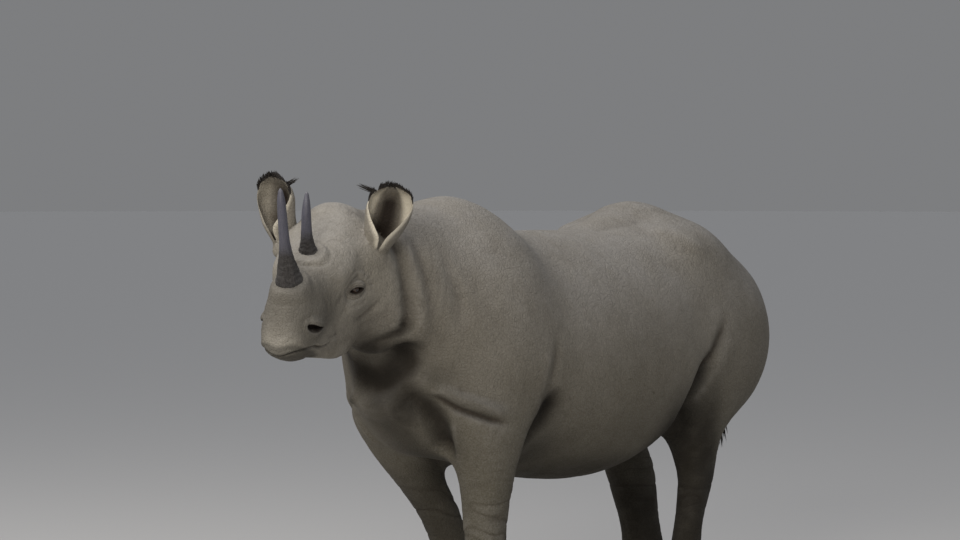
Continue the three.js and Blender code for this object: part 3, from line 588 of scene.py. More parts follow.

# Each fold: its places, width, depth, height and side of its swelling, fading ends, painted shade and painted
# shadow.
SINGLE_FOLDS = [
    (ARMPIT, 0.052, 0.036, 0.0, BEFORE, 0.22, 0.8, 1.0),
    (FAR_ARMPIT, 0.045, 0.026, 0.0, BEFORE, 0.30, 0.4, 0.5),
    (FLANK_HOLLOW, 0.046, 0.042, 0.0, BEHIND_ABOVE, 0.30, 0.6, 0.95),
    (FAR_FLANK_HOLLOW, 0.040, 0.028, 0.0, BEHIND_ABOVE, 0.35, 0.4, 0.4),
    (CHEST_RIDGE, 0.022, -0.019, 0.0, ABOVE, 0.32, 0.0, 0.25),
    (CHEST_FOLD, 0.014, 0.017, 0.0, ABOVE, 0.36, 1.0, 0.4),
    (np.array(CHEST_FOLD) * (-1, 1, 1), 0.018, 0.007, 0.004, ABOVE, 0.40, 0.35, 0.0),
    (BRISKET_KNOB, 0.020, -0.020, 0.0, ABOVE, 0.45, 0.0, 0.7),
    (THROAT_HOLLOW, 0.066, 0.020, 0.0, BEHIND, 0.14, 0.9, 1.0),
    (CHEST_HOLLOW, 0.048, 0.044, 0.0, BEHIND, 0.20, 0.4, 0.9),
    (FAR_CHEST_FOLD, 0.024, 0.016, 0.010, ABOVE, 0.30, 0.6, 0.5),
]
PAIRED_FOLDS = [
    (NECK_FOLD, 0.026, 0.018, 0.005, BEHIND, 0.25, 0.45, 0.25),
    (JAW_FOLD, 0.026, 0.011, 0.0, BEHIND, 0.20, 0.5, 0.85),
    (SECOND_FOLD, 0.028, 0.007, 0.003, BEHIND, 0.4, 0.30, 0.0),
    (THIRD_FOLD, 0.024, 0.004, 0.003, BEHIND, 0.4, 0.15, 0.0),
    (LEG_RIDGE, 0.024, -0.016, 0.0, ABOVE, 0.30, 0.0, 0.0),
    (ELBOW_FOLD, 0.026, 0.008, 0.004, BEFORE, 0.45, 0.20, 0.0),
    (HIP_HOLLOW, 0.045, 0.013, 0.0, ABOVE, 0.35, 0.15, 0.0),
    (HIP_RIDGE, 0.040, -0.011, 0.0, ABOVE, 0.35, 0.0, 0.0),
    (THIGH_FOLD, 0.028, 0.015, 0.004, BEHIND_ABOVE, 0.35, 0.6, 0.3),
    (BUTTOCK_FOLD, 0.022, 0.008, 0.004, BESIDE, 0.35, 0.3, 0.0),
]

for name in EYES:
    for radius in EYE_NETS:
        points, faces = finer(points, faces, eye_centre(name), radius)
points, faces = finer(points, faces, from_head(MUZZLE), MUZZLE_NET)
points = rounded_off(points, edges_of(faces), 2, 0.5)
skin = BVHTree.FromPolygons(points.tolist(), faces.tolist())
facing = outward(points, faces)
# The skin's marks: painted shade in creases, broad painted shadow, and dark and pale paint.
masks = {name: np.zeros(len(points)) for name in ("crease", "painted_shadow", "dark", "pale")}


def laid(places):
    """A line through places, laid on the skin."""
    return np.array([skin.find_nearest(Vector(place))[0] for place in through(places, FOLD_STEP)])


for places, *shape in SINGLE_FOLDS:
    press(laid(places), *shape)
for places, *shape in PAIRED_FOLDS:
    for side in (1, -1):
        press(laid(np.array(places) * (side, 1, 1)), *shape)
press(laid(TAIL_CLEFT), width=0.022, depth=0.030)

# Fine wrinkles: upright on the neck, slanting on the flank, level round the legs, close on the face.
NECK_WRINKLES, TRUNK_WRINKLES, LEG_WRINKLES = 0.0016, 0.0006, 0.0030  # their depths
FACE_WRINKLES, SMALL_WRINKLES = 0.0012, 0.0005
KNEE_HEIGHT, FETLOCK_HEIGHT = 0.40, 0.10  # where the wrinkles of a leg are deepest
DEEPEST_WRINKLE = 0.0060
SWELL = 0.0035

facing = outward(points, faces)
ahead, side, height = in_head(points).T
x, y, z = points.T
on_face = ramp(ahead, 0.0, 0.08) * ramp(height, -0.52, -0.46)
on_neck = (1 - on_face) * (1 - ramp(y, -0.72, -0.45)) * ramp(z, 0.8, 1.0)
on_leg = 1 - ramp(z, 0.55, 0.78)
on_trunk = (1 - on_face) * (1 - on_neck) * (1 - on_leg)
uneven = 0.4 + 1.2 * cloud(points * 5, 1)
neck_lines = creased(np.stack([x * 6, y * 30 - z * 6, z * 5], 1), 2)
trunk_lines = creased(np.stack([x * 9, y * 30 + z * 18, z * 20 - y * 10], 1), 3)
leg_lines = creased(np.stack([x * 7, y * 7, z * 30 + 2 * cloud(points * 9, 4)], 1), 5)
face_lines = creased(np.stack([ahead * 22, side * 30, height * 42], 1), 6)
small_lines = creased(points * (34, 34, 48), 7)
joints = hump(z - KNEE_HEIGHT, 0.10) + hump(z - FETLOCK_HEIGHT, 0.05)
depth = NECK_WRINKLES * on_neck * neck_lines + TRUNK_WRINKLES * on_trunk * trunk_lines
depth += LEG_WRINKLES * on_leg * leg_lines * (0.25 + np.minimum(joints, 1))
depth += FACE_WRINKLES * on_face * face_lines
depth = depth * uneven + SMALL_WRINKLES * small_lines
swell = SWELL * (cloud(points * 7, 8) - 0.5) * (1 - on_face)
points += facing * (swell - depth)[:, None]
# Painted shade in the wrinkles, darker where they are deeper.
shaded("crease", np.minimum(depth / DEEPEST_WRINKLE, 0.5))

# Painted shadow darkens the hind legs, the belly, the chest between the forelegs and the skin behind them,
# where the body shades itself.
hind = ramp(y, 0.42, 0.66) * (1 - ramp(z + 0.35 * ramp(y, 0.86, 1.10), 0.66, 0.92))
under = (1 - ramp(np.abs(x), 0.24, 0.36)) * (1 - ramp(z, 0.52, 0.66)) * ramp(y, -0.45, -0.25)
chest = ((1 - ramp(x, 0.06, 0.15)) * ramp(x, -0.16, 0.02) * (1 - ramp(y, -0.45, -0.30))
         * (1 - ramp(z, 0.92, 1.04)) * ramp(z, 0.45, 0.6))
behind_arm = ramp(y, -0.32, -0.26) * (1 - ramp(y, -0.16, 0.12)) * (1 - ramp(z, 0.60, 0.76))
for area, share in ((hind, 0.88), (under, 0.60), (chest, 0.66), (behind_arm, 0.65)):
    shaded("painted_shadow", share * area)

# Patches of painted shadow lie under the jaw, on the throat, on the brisket and before the shoulder, each
# with its middle, its half sizes and its share.
SHADOW_PATCHES = [
    ((0.07, -0.85, 1.045), (0.17, 0.12, 0.075), 0.97),
    ((-0.03, -0.77, 0.97), (0.10, 0.10, 0.09), 0.70),
    ((0.10, -0.72, 0.84), (0.085, 0.11, 0.15), 0.97),
    ((0.205, -0.68, 0.94), (0.085, 0.11, 0.065), 0.42),
]
for centre, radii, share in SHADOW_PATCHES:
    shaded("painted_shadow", share * hump(np.linalg.norm((points - centre) / radii, axis=1), 1.0))

# ---- The face ----
# A long face with heavy lids round small eyes, comma-shaped nostrils and a hooked, grasping upper lip.
# Its features are pressed into the same skin, whose net is finer here.

EYE_RADIUS = 0.021
EYE_AHEAD = 0.84  # how far ahead an eye looks, for one part outward
EYE_TILT = -10
FACE_REACH = 0.1  # the farthest that the shape of an eye or a nostril reaches
SLIT = (0.028, 0.0105, 0.0090)  # half length, upper and lower half height
LID = (0.0265, 0.044, 0.033)  # height over the eye's middle, half length, half width
# Each fold of the lids: its distance from the slit, its depth and its width.
LID_FOLDS = [(0.0085, 0.0022, 0.0018), (0.0150, 0.0018, 0.0020), (0.0225, 0.0014, 0.0024)]
LID_RIM = (0.0024, 0.0035)  # depth and width of the rounded edge along the slit
SOCKET = (0.050, 0.005, 0.014)  # distance from the eye's middle, depth and width of the hollow round the lids
BALL_SUNK = 0.006  # the skin that closes the slit lies this far inside the eyeball
NOSTRIL_AT = (0.450, 0, -0.172)
NOSTRIL_HALF = (0.046, 0.0128)
NOSTRIL_DEPTH = 0.032
NOSTRIL_TILT = -30
LIP_CORNER = 144  # degrees from straight ahead to a corner of the mouth
LIP_MIDDLE = (0.56, 0, -0.240)
LIP_RISE, CORNER_DROP = 0.041, 0.030  # of the line between the lips, in front and at its corners
HOOK = (0.662, 0.036, 0.034)  # place along the head, half length and half width of the upper lip's tip
HOOK_DROP = 0.015
COLLARS = [((0.498, 0.0), 0.053), ((0.316, 0.006), 0.048)]  # place along and beside the head, and radius
COLLAR_RIM = (0.012, 0.005, 0.010)  # distance from the horn, height and width
COLLAR_FURROW = (0.030, -0.004, 0.006)

# Wrinkles of each side of the face: width and depth in metres, then places along and above in millimetres.
FACE_LINES = [
    (0.0055, 0.0028, [(222, -203), (255, -219), (292, -212), (318, -200)]),
    (0.0070, 0.0026, [(210, -222), (255, -243), (305, -232), (340, -214)]),
    (0.0060, 0.0030, [(215, -160), (250, -143), (292, -148), (325, -168)]),
    (0.0080, 0.0026, [(200, -138), (250, -116), (305, -122), (345, -150)]),
    (0.0045, 0.0022, [(232, -182), (208, -176), (182, -182)]),
    (0.0045, 0.0022, [(234, -190), (208, -198), (180, -212)]),
    (0.0045, 0.0018, [(236, -172), (210, -160), (186, -158)]),
    (0.0110, 0.0030, [(296, -188), (335, -206), (368, -236)]),
    (0.0110, 0.0045, [(470, -266), (440, -280), (405, -292), (372, -300)]),
    (0.0110, 0.0025, [(430, -222), (412, -250), (396, -290), (392, -330)]),
    (0.0120, 0.0026, [(455, -92), (438, -128), (446, -168), (462, -200)]),
    (0.0110, 0.0020, [(425, -84), (408, -124), (416, -176), (430, -214)]),
    (0.0060, 0.0022, [(540, -112), (572, -132), (604, -140)]),
    (0.0160, 0.0050, [(322, -278), (262, -306), (200, -290), (160, -255)]),
    (0.0120, 0.0034, [(400, -180), (360, -170), (335, -150)]),
]


def face_axes(ahead, tilt, side):
    """Directions along the face, up and out, for a place on one side of the face."""
    out = unit(np.array((ahead, side, 0.0)))
    along = np.array((math.cos(math.radians(tilt)), 0, -math.sin(math.radians(tilt))))
    along = unit(along - out * (along @ out))
    return np.array([along, side * np.cross(along, out), out]) @ HEAD_FRAME[1]


def near(centre, axes, radius):
    """The skin's points within a radius of a place, and their offsets along three directions."""
    close = np.flatnonzero(np.linalg.norm(points - centre, axis=1) < radius)
    return close, ((points[close] - centre) @ axes.T).T


def soft_max(first, second, width):
    """The higher of two surfaces, with a rounded edge where they meet."""
    h = np.maximum(width - np.abs(first - second), 0) / width
    return np.maximum(first, second) + h * h * width / 4


def set_lids(side, centre):
    """Lids over the eyeball, parted by an almond-shaped slit."""
    axes = face_axes(EYE_AHEAD, EYE_TILT, side)
    close, (a, b, n) = near(centre, axes, FACE_REACH)
    half, upper, lower = SLIT
    peak = np.where(b > 0, upper, lower)
    opening = peak * np.maximum(1 - (a / half) ** 2, 0)
    slope = 2 * a / half**2 * peak
    past = np.abs(a) - half
    edge = np.where(past < 0, (np.abs(b) - opening) / np.sqrt(1 + slope**2), np.hypot(past, b))
    rise, long, wide = LID
    lid = rise * np.sqrt(np.maximum(1 - (a / long) ** 2 - (b / wide) ** 2, 0))
    socket = band(np.hypot(a, 1.2 * b), *SOCKET)
    target = soft_max(n - socket, lid, 0.008)
    target -= LID_RIM[0] * np.maximum(1 - np.maximum(edge, 0) / LID_RIM[1], 0) ** 2
    folds = sum(band(edge, *fold) for fold in LID_FOLDS)
    target -= folds * ramp(edge, 0, 0.004)
    ball = np.sqrt(np.maximum(EYE_RADIUS**2 - a**2 - b**2, 0)) - BALL_SUNK
    target = target + (np.minimum(ball, target) - target) * ramp(-edge, 0, 0.002)
    share = (1 - ramp(np.hypot(a, b), 0.055, 0.080)) * ramp(n, -0.02, 0.0)
    points[close] += axes[2] * ((target - n) * share)[:, None]
    # The lids' margins are painted dark, partly their own dark rims and partly painted shade round the sunken
    # eye; their folds and the skin round the slit get painted shade.
    shaded("dark", share * (1 - ramp(edge, 0.0015, 0.0085)), close)
    lines = share * np.minimum(folds / LID_FOLDS[0][1], 1) * 0.8
    shaded("crease", lines + 0.35 * share * (1 - ramp(edge, 0.004, 0.022)), close)


def set_nostril(side):
    """A comma-shaped hollow, round in front and drawn out and up at the rear, with a thick rim."""
    axes = face_axes(1.0, NOSTRIL_TILT, side)
    close, (a, b, n) = near(reached(skin, from_head(NOSTRIL_AT), axes[2]), axes, FACE_REACH)
    long, high = NOSTRIL_HALF
    bend = np.where(a < 0, 0.007 * (a / long) ** 2, 0.002 * (a / long) ** 2)
    half = high * np.sqrt(np.maximum(1 - (a / long) ** 2, 0)) * (1 + 0.35 * a / long)
    past = np.abs(a) - long
    edge = np.where(past < 0, 0.85 * (np.abs(b - bend) - half), np.hypot(past, b - bend))
    over = 0.5 + 0.5 * np.tanh((b - bend) / 0.006)
    move = -NOSTRIL_DEPTH * ramp(-edge, -0.0015, 0.0075)
    move += (0.0018 + 0.0016 * over) * hump(edge - 0.0095, 0.0085)
    move -= 0.003 * over * hump(edge - 0.024, 0.006)
    share = ramp(n, -0.05, -0.03)
    points[close] += axes[2] * (move * share)[:, None]
    # The inside of the nostril is painted dark: painted shade in the hole.
    shaded("dark", share * ramp(-edge, -0.002, 0.002), close)
    shaded("pale", 0.15 * over * hump(edge - 0.012, 0.010) * share, close)


def mouth_line():
    """The line between the lips, from one corner of the mouth round the muzzle to the other."""
    places = []
    for turn in np.radians(np.arange(-LIP_CORNER, LIP_CORNER + 1, 4)):
        way = np.array((math.cos(turn), math.sin(turn), 0))
        along, beside, above = LIP_MIDDLE
        start = (along, beside, above + LIP_RISE * way[0] - CORNER_DROP * ramp(abs(turn), 1.5, 2.6))
        places.append(reached(skin, from_head(start), way @ HEAD_FRAME[1]))
    return through(places, 0.004)


def on_side(places, side):
    """Places along and above the head's line, in millimetres, carried out to the skin of one side."""
    starts = through([(u / 1000, 0, v / 1000) for u, v in places], 0.004)
    way = side * HEAD_FRAME[1][1]
    return np.array([reached(skin, from_head(start), way) for start in starts])


mouth = mouth_line()
for side in EYES.values():
    for width, depth, places in FACE_LINES:
        press(on_side(places, side), width, depth, 0.4 * depth, toward=(0, 0, -1), ends=0.35, shade=0.4)
press(mouth, width=0.0055, depth=0.010, lip=0.004, ends=0.06)
press(mouth - (0, 0, 0.018), width=0.010, depth=0.0, lip=-0.002, ends=0.1, shade=0.0)
for side in EYES.values():
    set_nostril(side)
for name, side in EYES.items():
    set_lids(side, eye_centre(name))

# The hooked tip of the upper lip, and the rough collars of skin round the roots of the horns.
u, w, v = in_head(points).T
hook = hump(w, HOOK[2]) * hump(u - HOOK[0], HOOK[1]) * ramp(v, -0.214, -0.200)
points += (np.array((0.35, 0, -1.0)) @ HEAD_FRAME[1]) * (HOOK_DROP * hook)[:, None]
for (along, beside), radius in COLLARS:
    distance = np.hypot(u - along, w - beside) - radius
    collar = band(distance, *COLLAR_RIM) + band(distance, *COLLAR_FURROW)
    points += HEAD_FRAME[1][2] * (collar * ramp(v, -0.11, -0.07))[:, None]

# Painted shadow on the jaw below the lips and on the upper face, and paler skin on the tip of the lip and
# along the face.
on_jaw = ramp(u, 0.40, 0.50) * (1 - ramp(v - 0.115 * (u - 0.56) / 0.13, -0.268, -0.246))
upper_face = ramp(u, 0.34, 0.44) * (1 - ramp(u, 0.60, 0.68)) * ramp(v, -0.25, -0.20) * ramp(z, 0.5, 0.7)
lip_tip = ramp(u, 0.60, 0.68) * ramp(v, -0.24, -0.20)
shaded("painted_shadow", 0.95 * on_jaw)
shaded("painted_shadow", 0.62 * upper_face)
shaded("pale", 0.22 * lip_tip)
shaded("pale", 0.12 * on_face * ramp(v, -0.36, -0.28))

# ---- Toes ----
# Each foot is a broad pad with three toes, that swell round the roots of the nails. The soles are cut level
# by the ground.

FEET = {  # the middle of the sole, the half width and the front reach there, and the turn in degrees
    "front_left": ((0.230, -0.3999), 0.111, 0.119, 6),
    "front_right": ((-0.173, -0.0509), 0.111, 0.119, -6),
    "hind_left": ((0.216, 0.9011), 0.099, 0.115, 24),
    "hind_right": ((-0.196, 1.2281), 0.099, 0.130, -32),
}
TOE_TURNS = (-52, 0, 52)
TOE_REACH = 0.12
TOE_SWELLING = (1.45, 0.006, 0.35)  # distance from the nail's middle, in its half sizes, height and width
NAIL_FURROW = (1.08, -0.004, 0.12)
NAIL_HALF = (0.034, 0.017, 0.040)  # half width, thickness and height
NAIL_HEIGHT = 0.027  # of the nail's middle over the floor
NAIL_LEAN = math.radians(12)
SOLE_EDGE = 0.004  # skin lower than this lies flat on the ground


def toe_frames():
    """For each toe its foot's name, the nail's middle and its directions across, out and up."""
    for foot, (sole, half, front, turn) in FEET.items():
        for toe in np.radians(TOE_TURNS):
            side, before = math.sin(toe) * half * np.sign(sole[0]), math.cos(toe) * front
            c, s = math.cos(math.radians(turn)), math.sin(math.radians(turn))
            out = np.array((side * c + before * s, side * s - before * c, 0))
            middle = np.array((sole[0] + out[0], sole[1] + out[1], NAIL_HEIGHT))
            out = unit(out)
            across = np.array((-out[1], out[0], 0))
            up = unit(np.array((0, 0, math.cos(NAIL_LEAN))) - out * math.sin(NAIL_LEAN))
            yield foot, middle, np.array([across, np.cross(up, across), up])


for _, middle, axes in toe_frames():
    close, (a, n, b) = near(middle, axes, TOE_REACH)
    round_nail = np.hypot(a / NAIL_HALF[0], b / NAIL_HALF[2])
    move = band(round_nail, *TOE_SWELLING) * ramp(b, -0.02, 0.03) + band(round_nail, *NAIL_FURROW)
    points[close] += axes[1] * (move * ramp(n, -0.05, -0.02))[:, None]
    # Painted shade in the furrow round each nail's root.
    shaded("crease", 0.6 * hump(round_nail - 1.05, 0.12) * ramp(n, -0.04, -0.02), close)
points[:, 2] -= points[:, 2].min() * (1 - ramp(points[:, 2], 0.0, 0.12))
points[points[:, 2] < SOLE_EDGE, 2] = 0

# ---- Ears ----
# Each ear is a rolled sheet of skin and gristle, closed at its root and opening forward and outward, dark
# inside, partly dark hair and partly painted shade, with pale rims and inner walls painted paler to stand in
# for light. It grows out of the head without a seam.

EAR_ROOT = (0.098, 0.174, -0.128)
EAR_LENGTH = 0.234
EAR_SPREAD = 0.044
EAR_TURN = 22
EAR_FLATTENING = 0.38  # share of its depth that the roll loses above the root
EAR_FLARE = 0.007  # how far the rims turn out
EAR_RIPPLE = 0.0016
EAR_WALL = 0.0085
EAR_BURIED = 0.12  # share of the length that lies inside the head
EAR_ROWS = np.array([
    # share of the length, radius, half the turn that the sheet covers, shift forward
    (-0.12, 0.030, 172, 0.000),
    (0.00, 0.043, 174, 0.000),
    (0.12, 0.054, 174, 0.000),
    (0.22, 0.062, 168, 0.001),
    (0.36, 0.072, 150, 0.003),
    (0.55, 0.080, 124, 0.005),
    (0.75, 0.080, 100, 0.008),
    (0.90, 0.062, 88, 0.014),
    (1.00, 0.024, 84, 0.020),
])
EAR_STEPS, SHEET_STEPS = 44, 40


def ear_axes(side):
    """The ear's directions up, forward and across."""
    drop = math.radians(HEAD_DROP)
    up = Vector((-math.sin(drop), 0, math.cos(drop)))
    before = Quaternion(up, math.radians(side * EAR_TURN)) @ Vector((math.cos(drop), 0, math.sin(drop)))
    return np.array(up), np.array(before), np.array(up.cross(before))


def ear_places(side, t, share, depth):
    """Places on the ear's sheet: shares of its length and of its width from rim to rim, place in its wall."""
    up, before, across = ear_axes(side)
    radius, cover, shift = curve(EAR_ROWS[:, 0], EAR_ROWS[:, 1:], t).T
    rim = np.sqrt(np.maximum(1 - np.abs(share) ** 10, 0.02))
    tip = np.sqrt(np.maximum(1 - ramp(t, 0.80, 1.02) ** 2, 0.05))
    wall = EAR_WALL * (1 - 0.3 * np.abs(share)) * rim * tip
    flare = EAR_FLARE * share**4 * np.maximum(t, 0)
    ripple = EAR_RIPPLE * np.sin(9 * share + 3 * t) * ramp(t, 0.2, 0.6)
    r = radius + flare + ripple - 0.5 * EAR_WALL + (0.5 - depth) * wall
    angle = math.pi + np.radians(cover) * share
    outwards = np.maximum(t, 0) * (2 - np.maximum(t, 0)) * EAR_SPREAD
    shallow = 1 - EAR_FLATTENING * ramp(t, 0.15, 0.5)
    places = np.array(EAR_ROOT) * (1, side, 1) + up * (t * EAR_LENGTH)[:, None]
    places = places + np.array((0, side, 0)) * outwards[:, None]
    places += before * (shift + np.cos(angle) * r * shallow)[:, None]
    places += across * (np.sin(angle) * r)[:, None]
    return from_head(places)


def turned_out(places, faces, middle):
    """A closed surface's triangles, turned over together if they face its middle."""
    a, b, c = [places[faces[:, corner]] - middle for corner in range(3)]
    return faces[:, ::-1] if (np.cross(a, b) * c).sum() < 0 else faces


def ear_sheet(side):
    """The ear's closed sheet, with the length share, width share and wall place of each of its points."""
    even = np.linspace(-1, 1, SHEET_STEPS + 1)
    closer = even * (1.5 - 0.5 * even**2)  # the points lie closer together toward the rims
    loop = np.concatenate([closer, closer[::-1]])
    count = len(loop)
    t = np.repeat(np.linspace(-EAR_BURIED, 1, EAR_STEPS + 1), count)
    share = np.tile(loop, EAR_STEPS + 1)
    depth = np.tile(np.repeat([0.0, 1.0], SHEET_STEPS + 1), EAR_STEPS + 1)
    outer = np.arange(SHEET_STEPS)
    inner = count - 1 - outer
    cap = np.stack([outer, inner, inner - 1, outer + 1], axis=1)
    quads = np.vstack([between_rings(EAR_STEPS + 1, count), cap, cap[:, ::-1] + EAR_STEPS * count])
    places = ear_places(side, t, share, depth)
    return places, turned_out(places, triangles(quads), places.mean(0)), t, share, depth


ears = {side: ear_sheet(side) for side in (1, -1)}

# ---- The hide ----
# One skin over the whole animal, bare, dry and dusty: grey-brown, paler with dust on the back and the crown,
# darker and more olive toward the ground, cracked into small plates, with painted shade in its folds and
# hollows, painted shadow on the throat, chest, belly and hind legs, and paler paint on its ridges, partly
# wear and partly painted highlight.

HIDE_TRIANGLES = 174000  # of the full skin, before the ears are joined to it
SEAM_ROUNDS = 8  # rounds of smoothing where an ear meets the head
HOLLOW_ROUNDS = 8  # rounds of smoothing that even the skin out, to find its hollows
HIDE_TONES = (0.168, 0.148, 0.113, 1), (0.228, 0.205, 0.165, 1)
LOWER_TONE = (0.092, 0.080, 0.052, 1)
LOWER_TONE_HEIGHTS = (0.62, 1.42)  # all of the lower tone below the first height, none above the second
DUST_TONE = (0.372, 0.362, 0.362, 1)
CRACK_TONE = (0.075, 0.062, 0.046, 1)
GRAIN_TONE = (0.46, 0.43, 0.38, 1)
# Paler paint on ridges, partly wear and partly painted highlight.
RIDGE_WEAR_AND_HIGHLIGHT_TONE = (0.44, 0.41, 0.37, 1)
# Painted shade in creases, wrinkles and hollows.
CREASE_SHADE_TONE = (0.060, 0.046, 0.034, 1)
# Tone of the broad painted shadow.
PAINTED_SHADOW_TONE = (0.020, 0.016, 0.011, 1)
PALE_TONE = (0.50, 0.465, 0.39, 1)
CREAM_AND_PAINTED_LIGHT_TONE = (0.66, 0.60, 0.48, 1)
DARK_TONE = (0.020, 0.014, 0.010, 1)
HIDE_RELIEF = 0.0045  # metres

whole = built("hide", points, faces)
mesh = modified(whole, ("DECIMATE", {"ratio": HIDE_TRIANGLES / len(faces)}))
whole = built("hide", *arrays(mesh))
bpy.data.meshes.remove(mesh)
unions = [("BOOLEAN", {"object": built("ear", *ear[:2]), "operation": "UNION", "solver": "EXACT"})
          for ear in ears.values()]
mesh = modified(whole, *unions)
for _, settings in unions:
    bpy.data.objects.remove(settings["object"])
body_points, body_faces = outer_shell(*arrays(mesh))
bpy.data.meshes.remove(mesh)
edges = edges_of(body_faces)
at_root = np.zeros(len(body_points))
for side in ears:
    up = ear_axes(side)[0]
    apart = in_head(body_points) - np.array(EAR_ROOT) * (1, side, 1)
    along = apart @ up
    off_axis = np.linalg.norm(apart - along[:, None] * up, axis=1)
    at_root += (1 - ramp(np.abs(along - 0.012), 0.02, 0.05)) * (1 - ramp(off_axis, 0.07, 0.11))
body_points = rounded_off(body_points, edges, SEAM_ROUNDS, 0.5 * np.minimum(at_root, 1))

# Each point takes the shading of the nearest place that was modelled.
sources = [(points, *masks.values(), np.zeros(len(points)))]
# Inside each ear: painted shade on the inner wall, and a dark core, partly dark hair and partly painted
# shade. The inner walls near the rims are painted pale, paler than the ear's own colour to stand in for
# light, and the far ear keeps less of that pale paint, least on one wall, as painted shade.
for side, (places, _, t, share, depth) in ears.items():
    wide = np.abs(share)
    core = depth * (1 - ramp(wide, 0.08, 0.36)) * (1 - ramp(t, 0.74, 0.94))
    core = np.maximum(core, depth * (1 - ramp(t, 0.08, 0.20)))
    cream_and_painted_light = np.maximum(depth * ramp(wide, 0.30, 0.52), 0.8 * ramp(wide, 0.86, 0.97))
    if side < 0:
        cream_and_painted_light *= 0.25 + 0.5 * ramp(-share, 0.0, 0.4)
    cream_and_painted_light *= ramp(t, 0.0, 0.12) * (1 - 0.6 * ramp(t, 0.80, 0.97))
    sources.append((places, 0.3 * depth * (1 - cream_and_painted_light), 0 * t, core, 0 * t, cream_and_painted_light))
modelled = np.vstack([source[0] for source in sources])
nearby = KDTree(len(modelled))
for i, place in enumerate(modelled):
    nearby.insert(place, i)
nearby.balance()
nearest = np.array([nearby.find(place)[1] for place in body_points])
shades = {name: np.concatenate([source[i] for source in sources])[nearest]
          for i, name in enumerate([*masks, "cream_and_painted_light"], 1)}

# Places below the mean of the skin round them get painted shade like the creases, and places above it are
# painted pale, partly wear and partly painted highlight.
even = rounded_off(body_points, edges, HOLLOW_ROUNDS, 0.6)
hollow = ((even - body_points) * outward(body_points, body_faces)).sum(1)
shades["crease"] = np.clip(shades["crease"] + ramp(hollow, 0.0006, 0.005), 0, 1)
shades["ridge"] = ramp(-hollow, 0.0008, 0.005)


def stored(thing, name, values):
    """Gives each point of an object a value or a vector that its paint can read."""
    values = np.asarray(values, np.float32)
    kind, key = ("FLOAT_VECTOR", "vector") if values.ndim > 1 else ("FLOAT", "value")
    thing.data.attributes.new(name, kind, "POINT").data.foreach_set(key, values.ravel())


hide = built("hide", body_points, body_faces)
for name, values in shades.items():
    stored(hide, name, values)


def group(name, inputs, outputs):
    """A node group with named value and vector sockets; returns it with its two end nodes."""
    kinds = {"value": "NodeSocketFloat", "vector": "NodeSocketVector"}
    tree = bpy.data.node_groups.new(name, "ShaderNodeTree")
    for label, kind in inputs.items():
        tree.interface.new_socket(label, in_out="INPUT", socket_type=kinds[kind])
    for label, kind in outputs.items():
        tree.interface.new_socket(label, in_out="OUTPUT", socket_type=kinds[kind])
    return tree, tree.nodes.new("NodeGroupInput").outputs, tree.nodes.new("NodeGroupOutput").inputs


def maths(tree, operation, *values):
    return node(tree, "ShaderNodeMath", dict(enumerate(values)), operation=operation).outputs[0]


def vectors(tree, operation, *values):
    return node(tree, "ShaderNodeVectorMath", dict(enumerate(values)), operation=operation).outputs[0]


def noise(tree, places, scale, detail=3.0, rough=0.5):
    inputs = {"Vector": places, "Scale": scale, "Detail": detail, "Roughness": rough}
    return node(tree, "ShaderNodeTexNoise", inputs).outputs["Fac"]


def tinted(tree, tone, colour, mask, amount=1.0):
    """A tone drawn toward a colour where a mask is high, by at most an amount."""
    return mixed(tree, maths(tree, "MULTIPLY", mask, amount), tone, colour)


def bumped(tree, shader, height, strength, distance):
    """Fine relief that tilts the shine of a surface without moving it."""
    bump = node(tree, "ShaderNodeBump", {"Height": height, "Strength": strength, "Distance": distance})
    tree.links.new(bump.outputs["Normal"], shader["Normal"])


# Dust that settles on whatever faces up.
dust, given, put = group("dust", {"Places": "vector", "Amount": "value"}, {"Mask": "value"})
faced = node(dust, "ShaderNodeSeparateXYZ", {0: node(dust, "ShaderNodeNewGeometry").outputs["Normal"]})
settled = spread(dust, faced.outputs["Z"], -0.15, 0.95)
patches = spread(dust, noise(dust, given["Places"], 7.0, 6.0, 0.6), 0.30, 0.70, 0.55, 1.0)
patchy = maths(dust, "MULTIPLY", settled, patches)
dust.links.new(maths(dust, "MULTIPLY", patchy, given["Amount"]), put["Mask"])

# The grain of a dry surface: fine pits, and a tone that goes with them.
grain, given, put = group("grain", {"Places": "vector", "Scale": "value"},
                          {"Height": "value", "Tone": "value"})
specks = noise(grain, given["Places"], given["Scale"], 4.0, 0.65)
grain.links.new(specks, put["Height"])
grain.links.new(spread(grain, specks, 0.25, 0.75), put["Tone"])

# Cracks between small plates, 1 in the cracks.
cracks, given, put = group("cracks", {"Places": "vector", "Scale": "value"}, {"Lines": "value"})
bent = node(cracks, "ShaderNodeTexNoise", {"Vector": given["Places"], "Scale": 14.0, "Detail": 2.0})
moved = vectors(cracks, "SUBTRACT", bent.outputs["Color"], (0.5, 0.5, 0.5))
little = vectors(cracks, "MULTIPLY", moved, (0.03, 0.03, 0.03))
uneven_places = vectors(cracks, "ADD", given["Places"], little)
plates = node(cracks, "ShaderNodeTexVoronoi", {"Vector": uneven_places, "Scale": given["Scale"]},
              feature="DISTANCE_TO_EDGE")
cracks.links.new(spread(cracks, plates.outputs["Distance"], 0.0, 0.16, 1.0, 0.0), put["Lines"])


def used(tree, made, places, **inputs):
    """A node group placed in a material."""
    return node(tree, "ShaderNodeGroup", {"Places": places, **inputs}, node_tree=made).outputs


def attribute(tree, name):
    return node(tree, "ShaderNodeAttribute", attribute_name=name).outputs


def paint(name):
    """A new material, its tree, its shader's inputs and the places of what it covers."""
    made = bpy.data.materials.new(name)
    made.use_nodes = True
    tree = made.node_tree
    places = node(tree, "ShaderNodeTexCoord").outputs["Object"]
    return made, tree, tree.nodes["Principled BSDF"].inputs, places


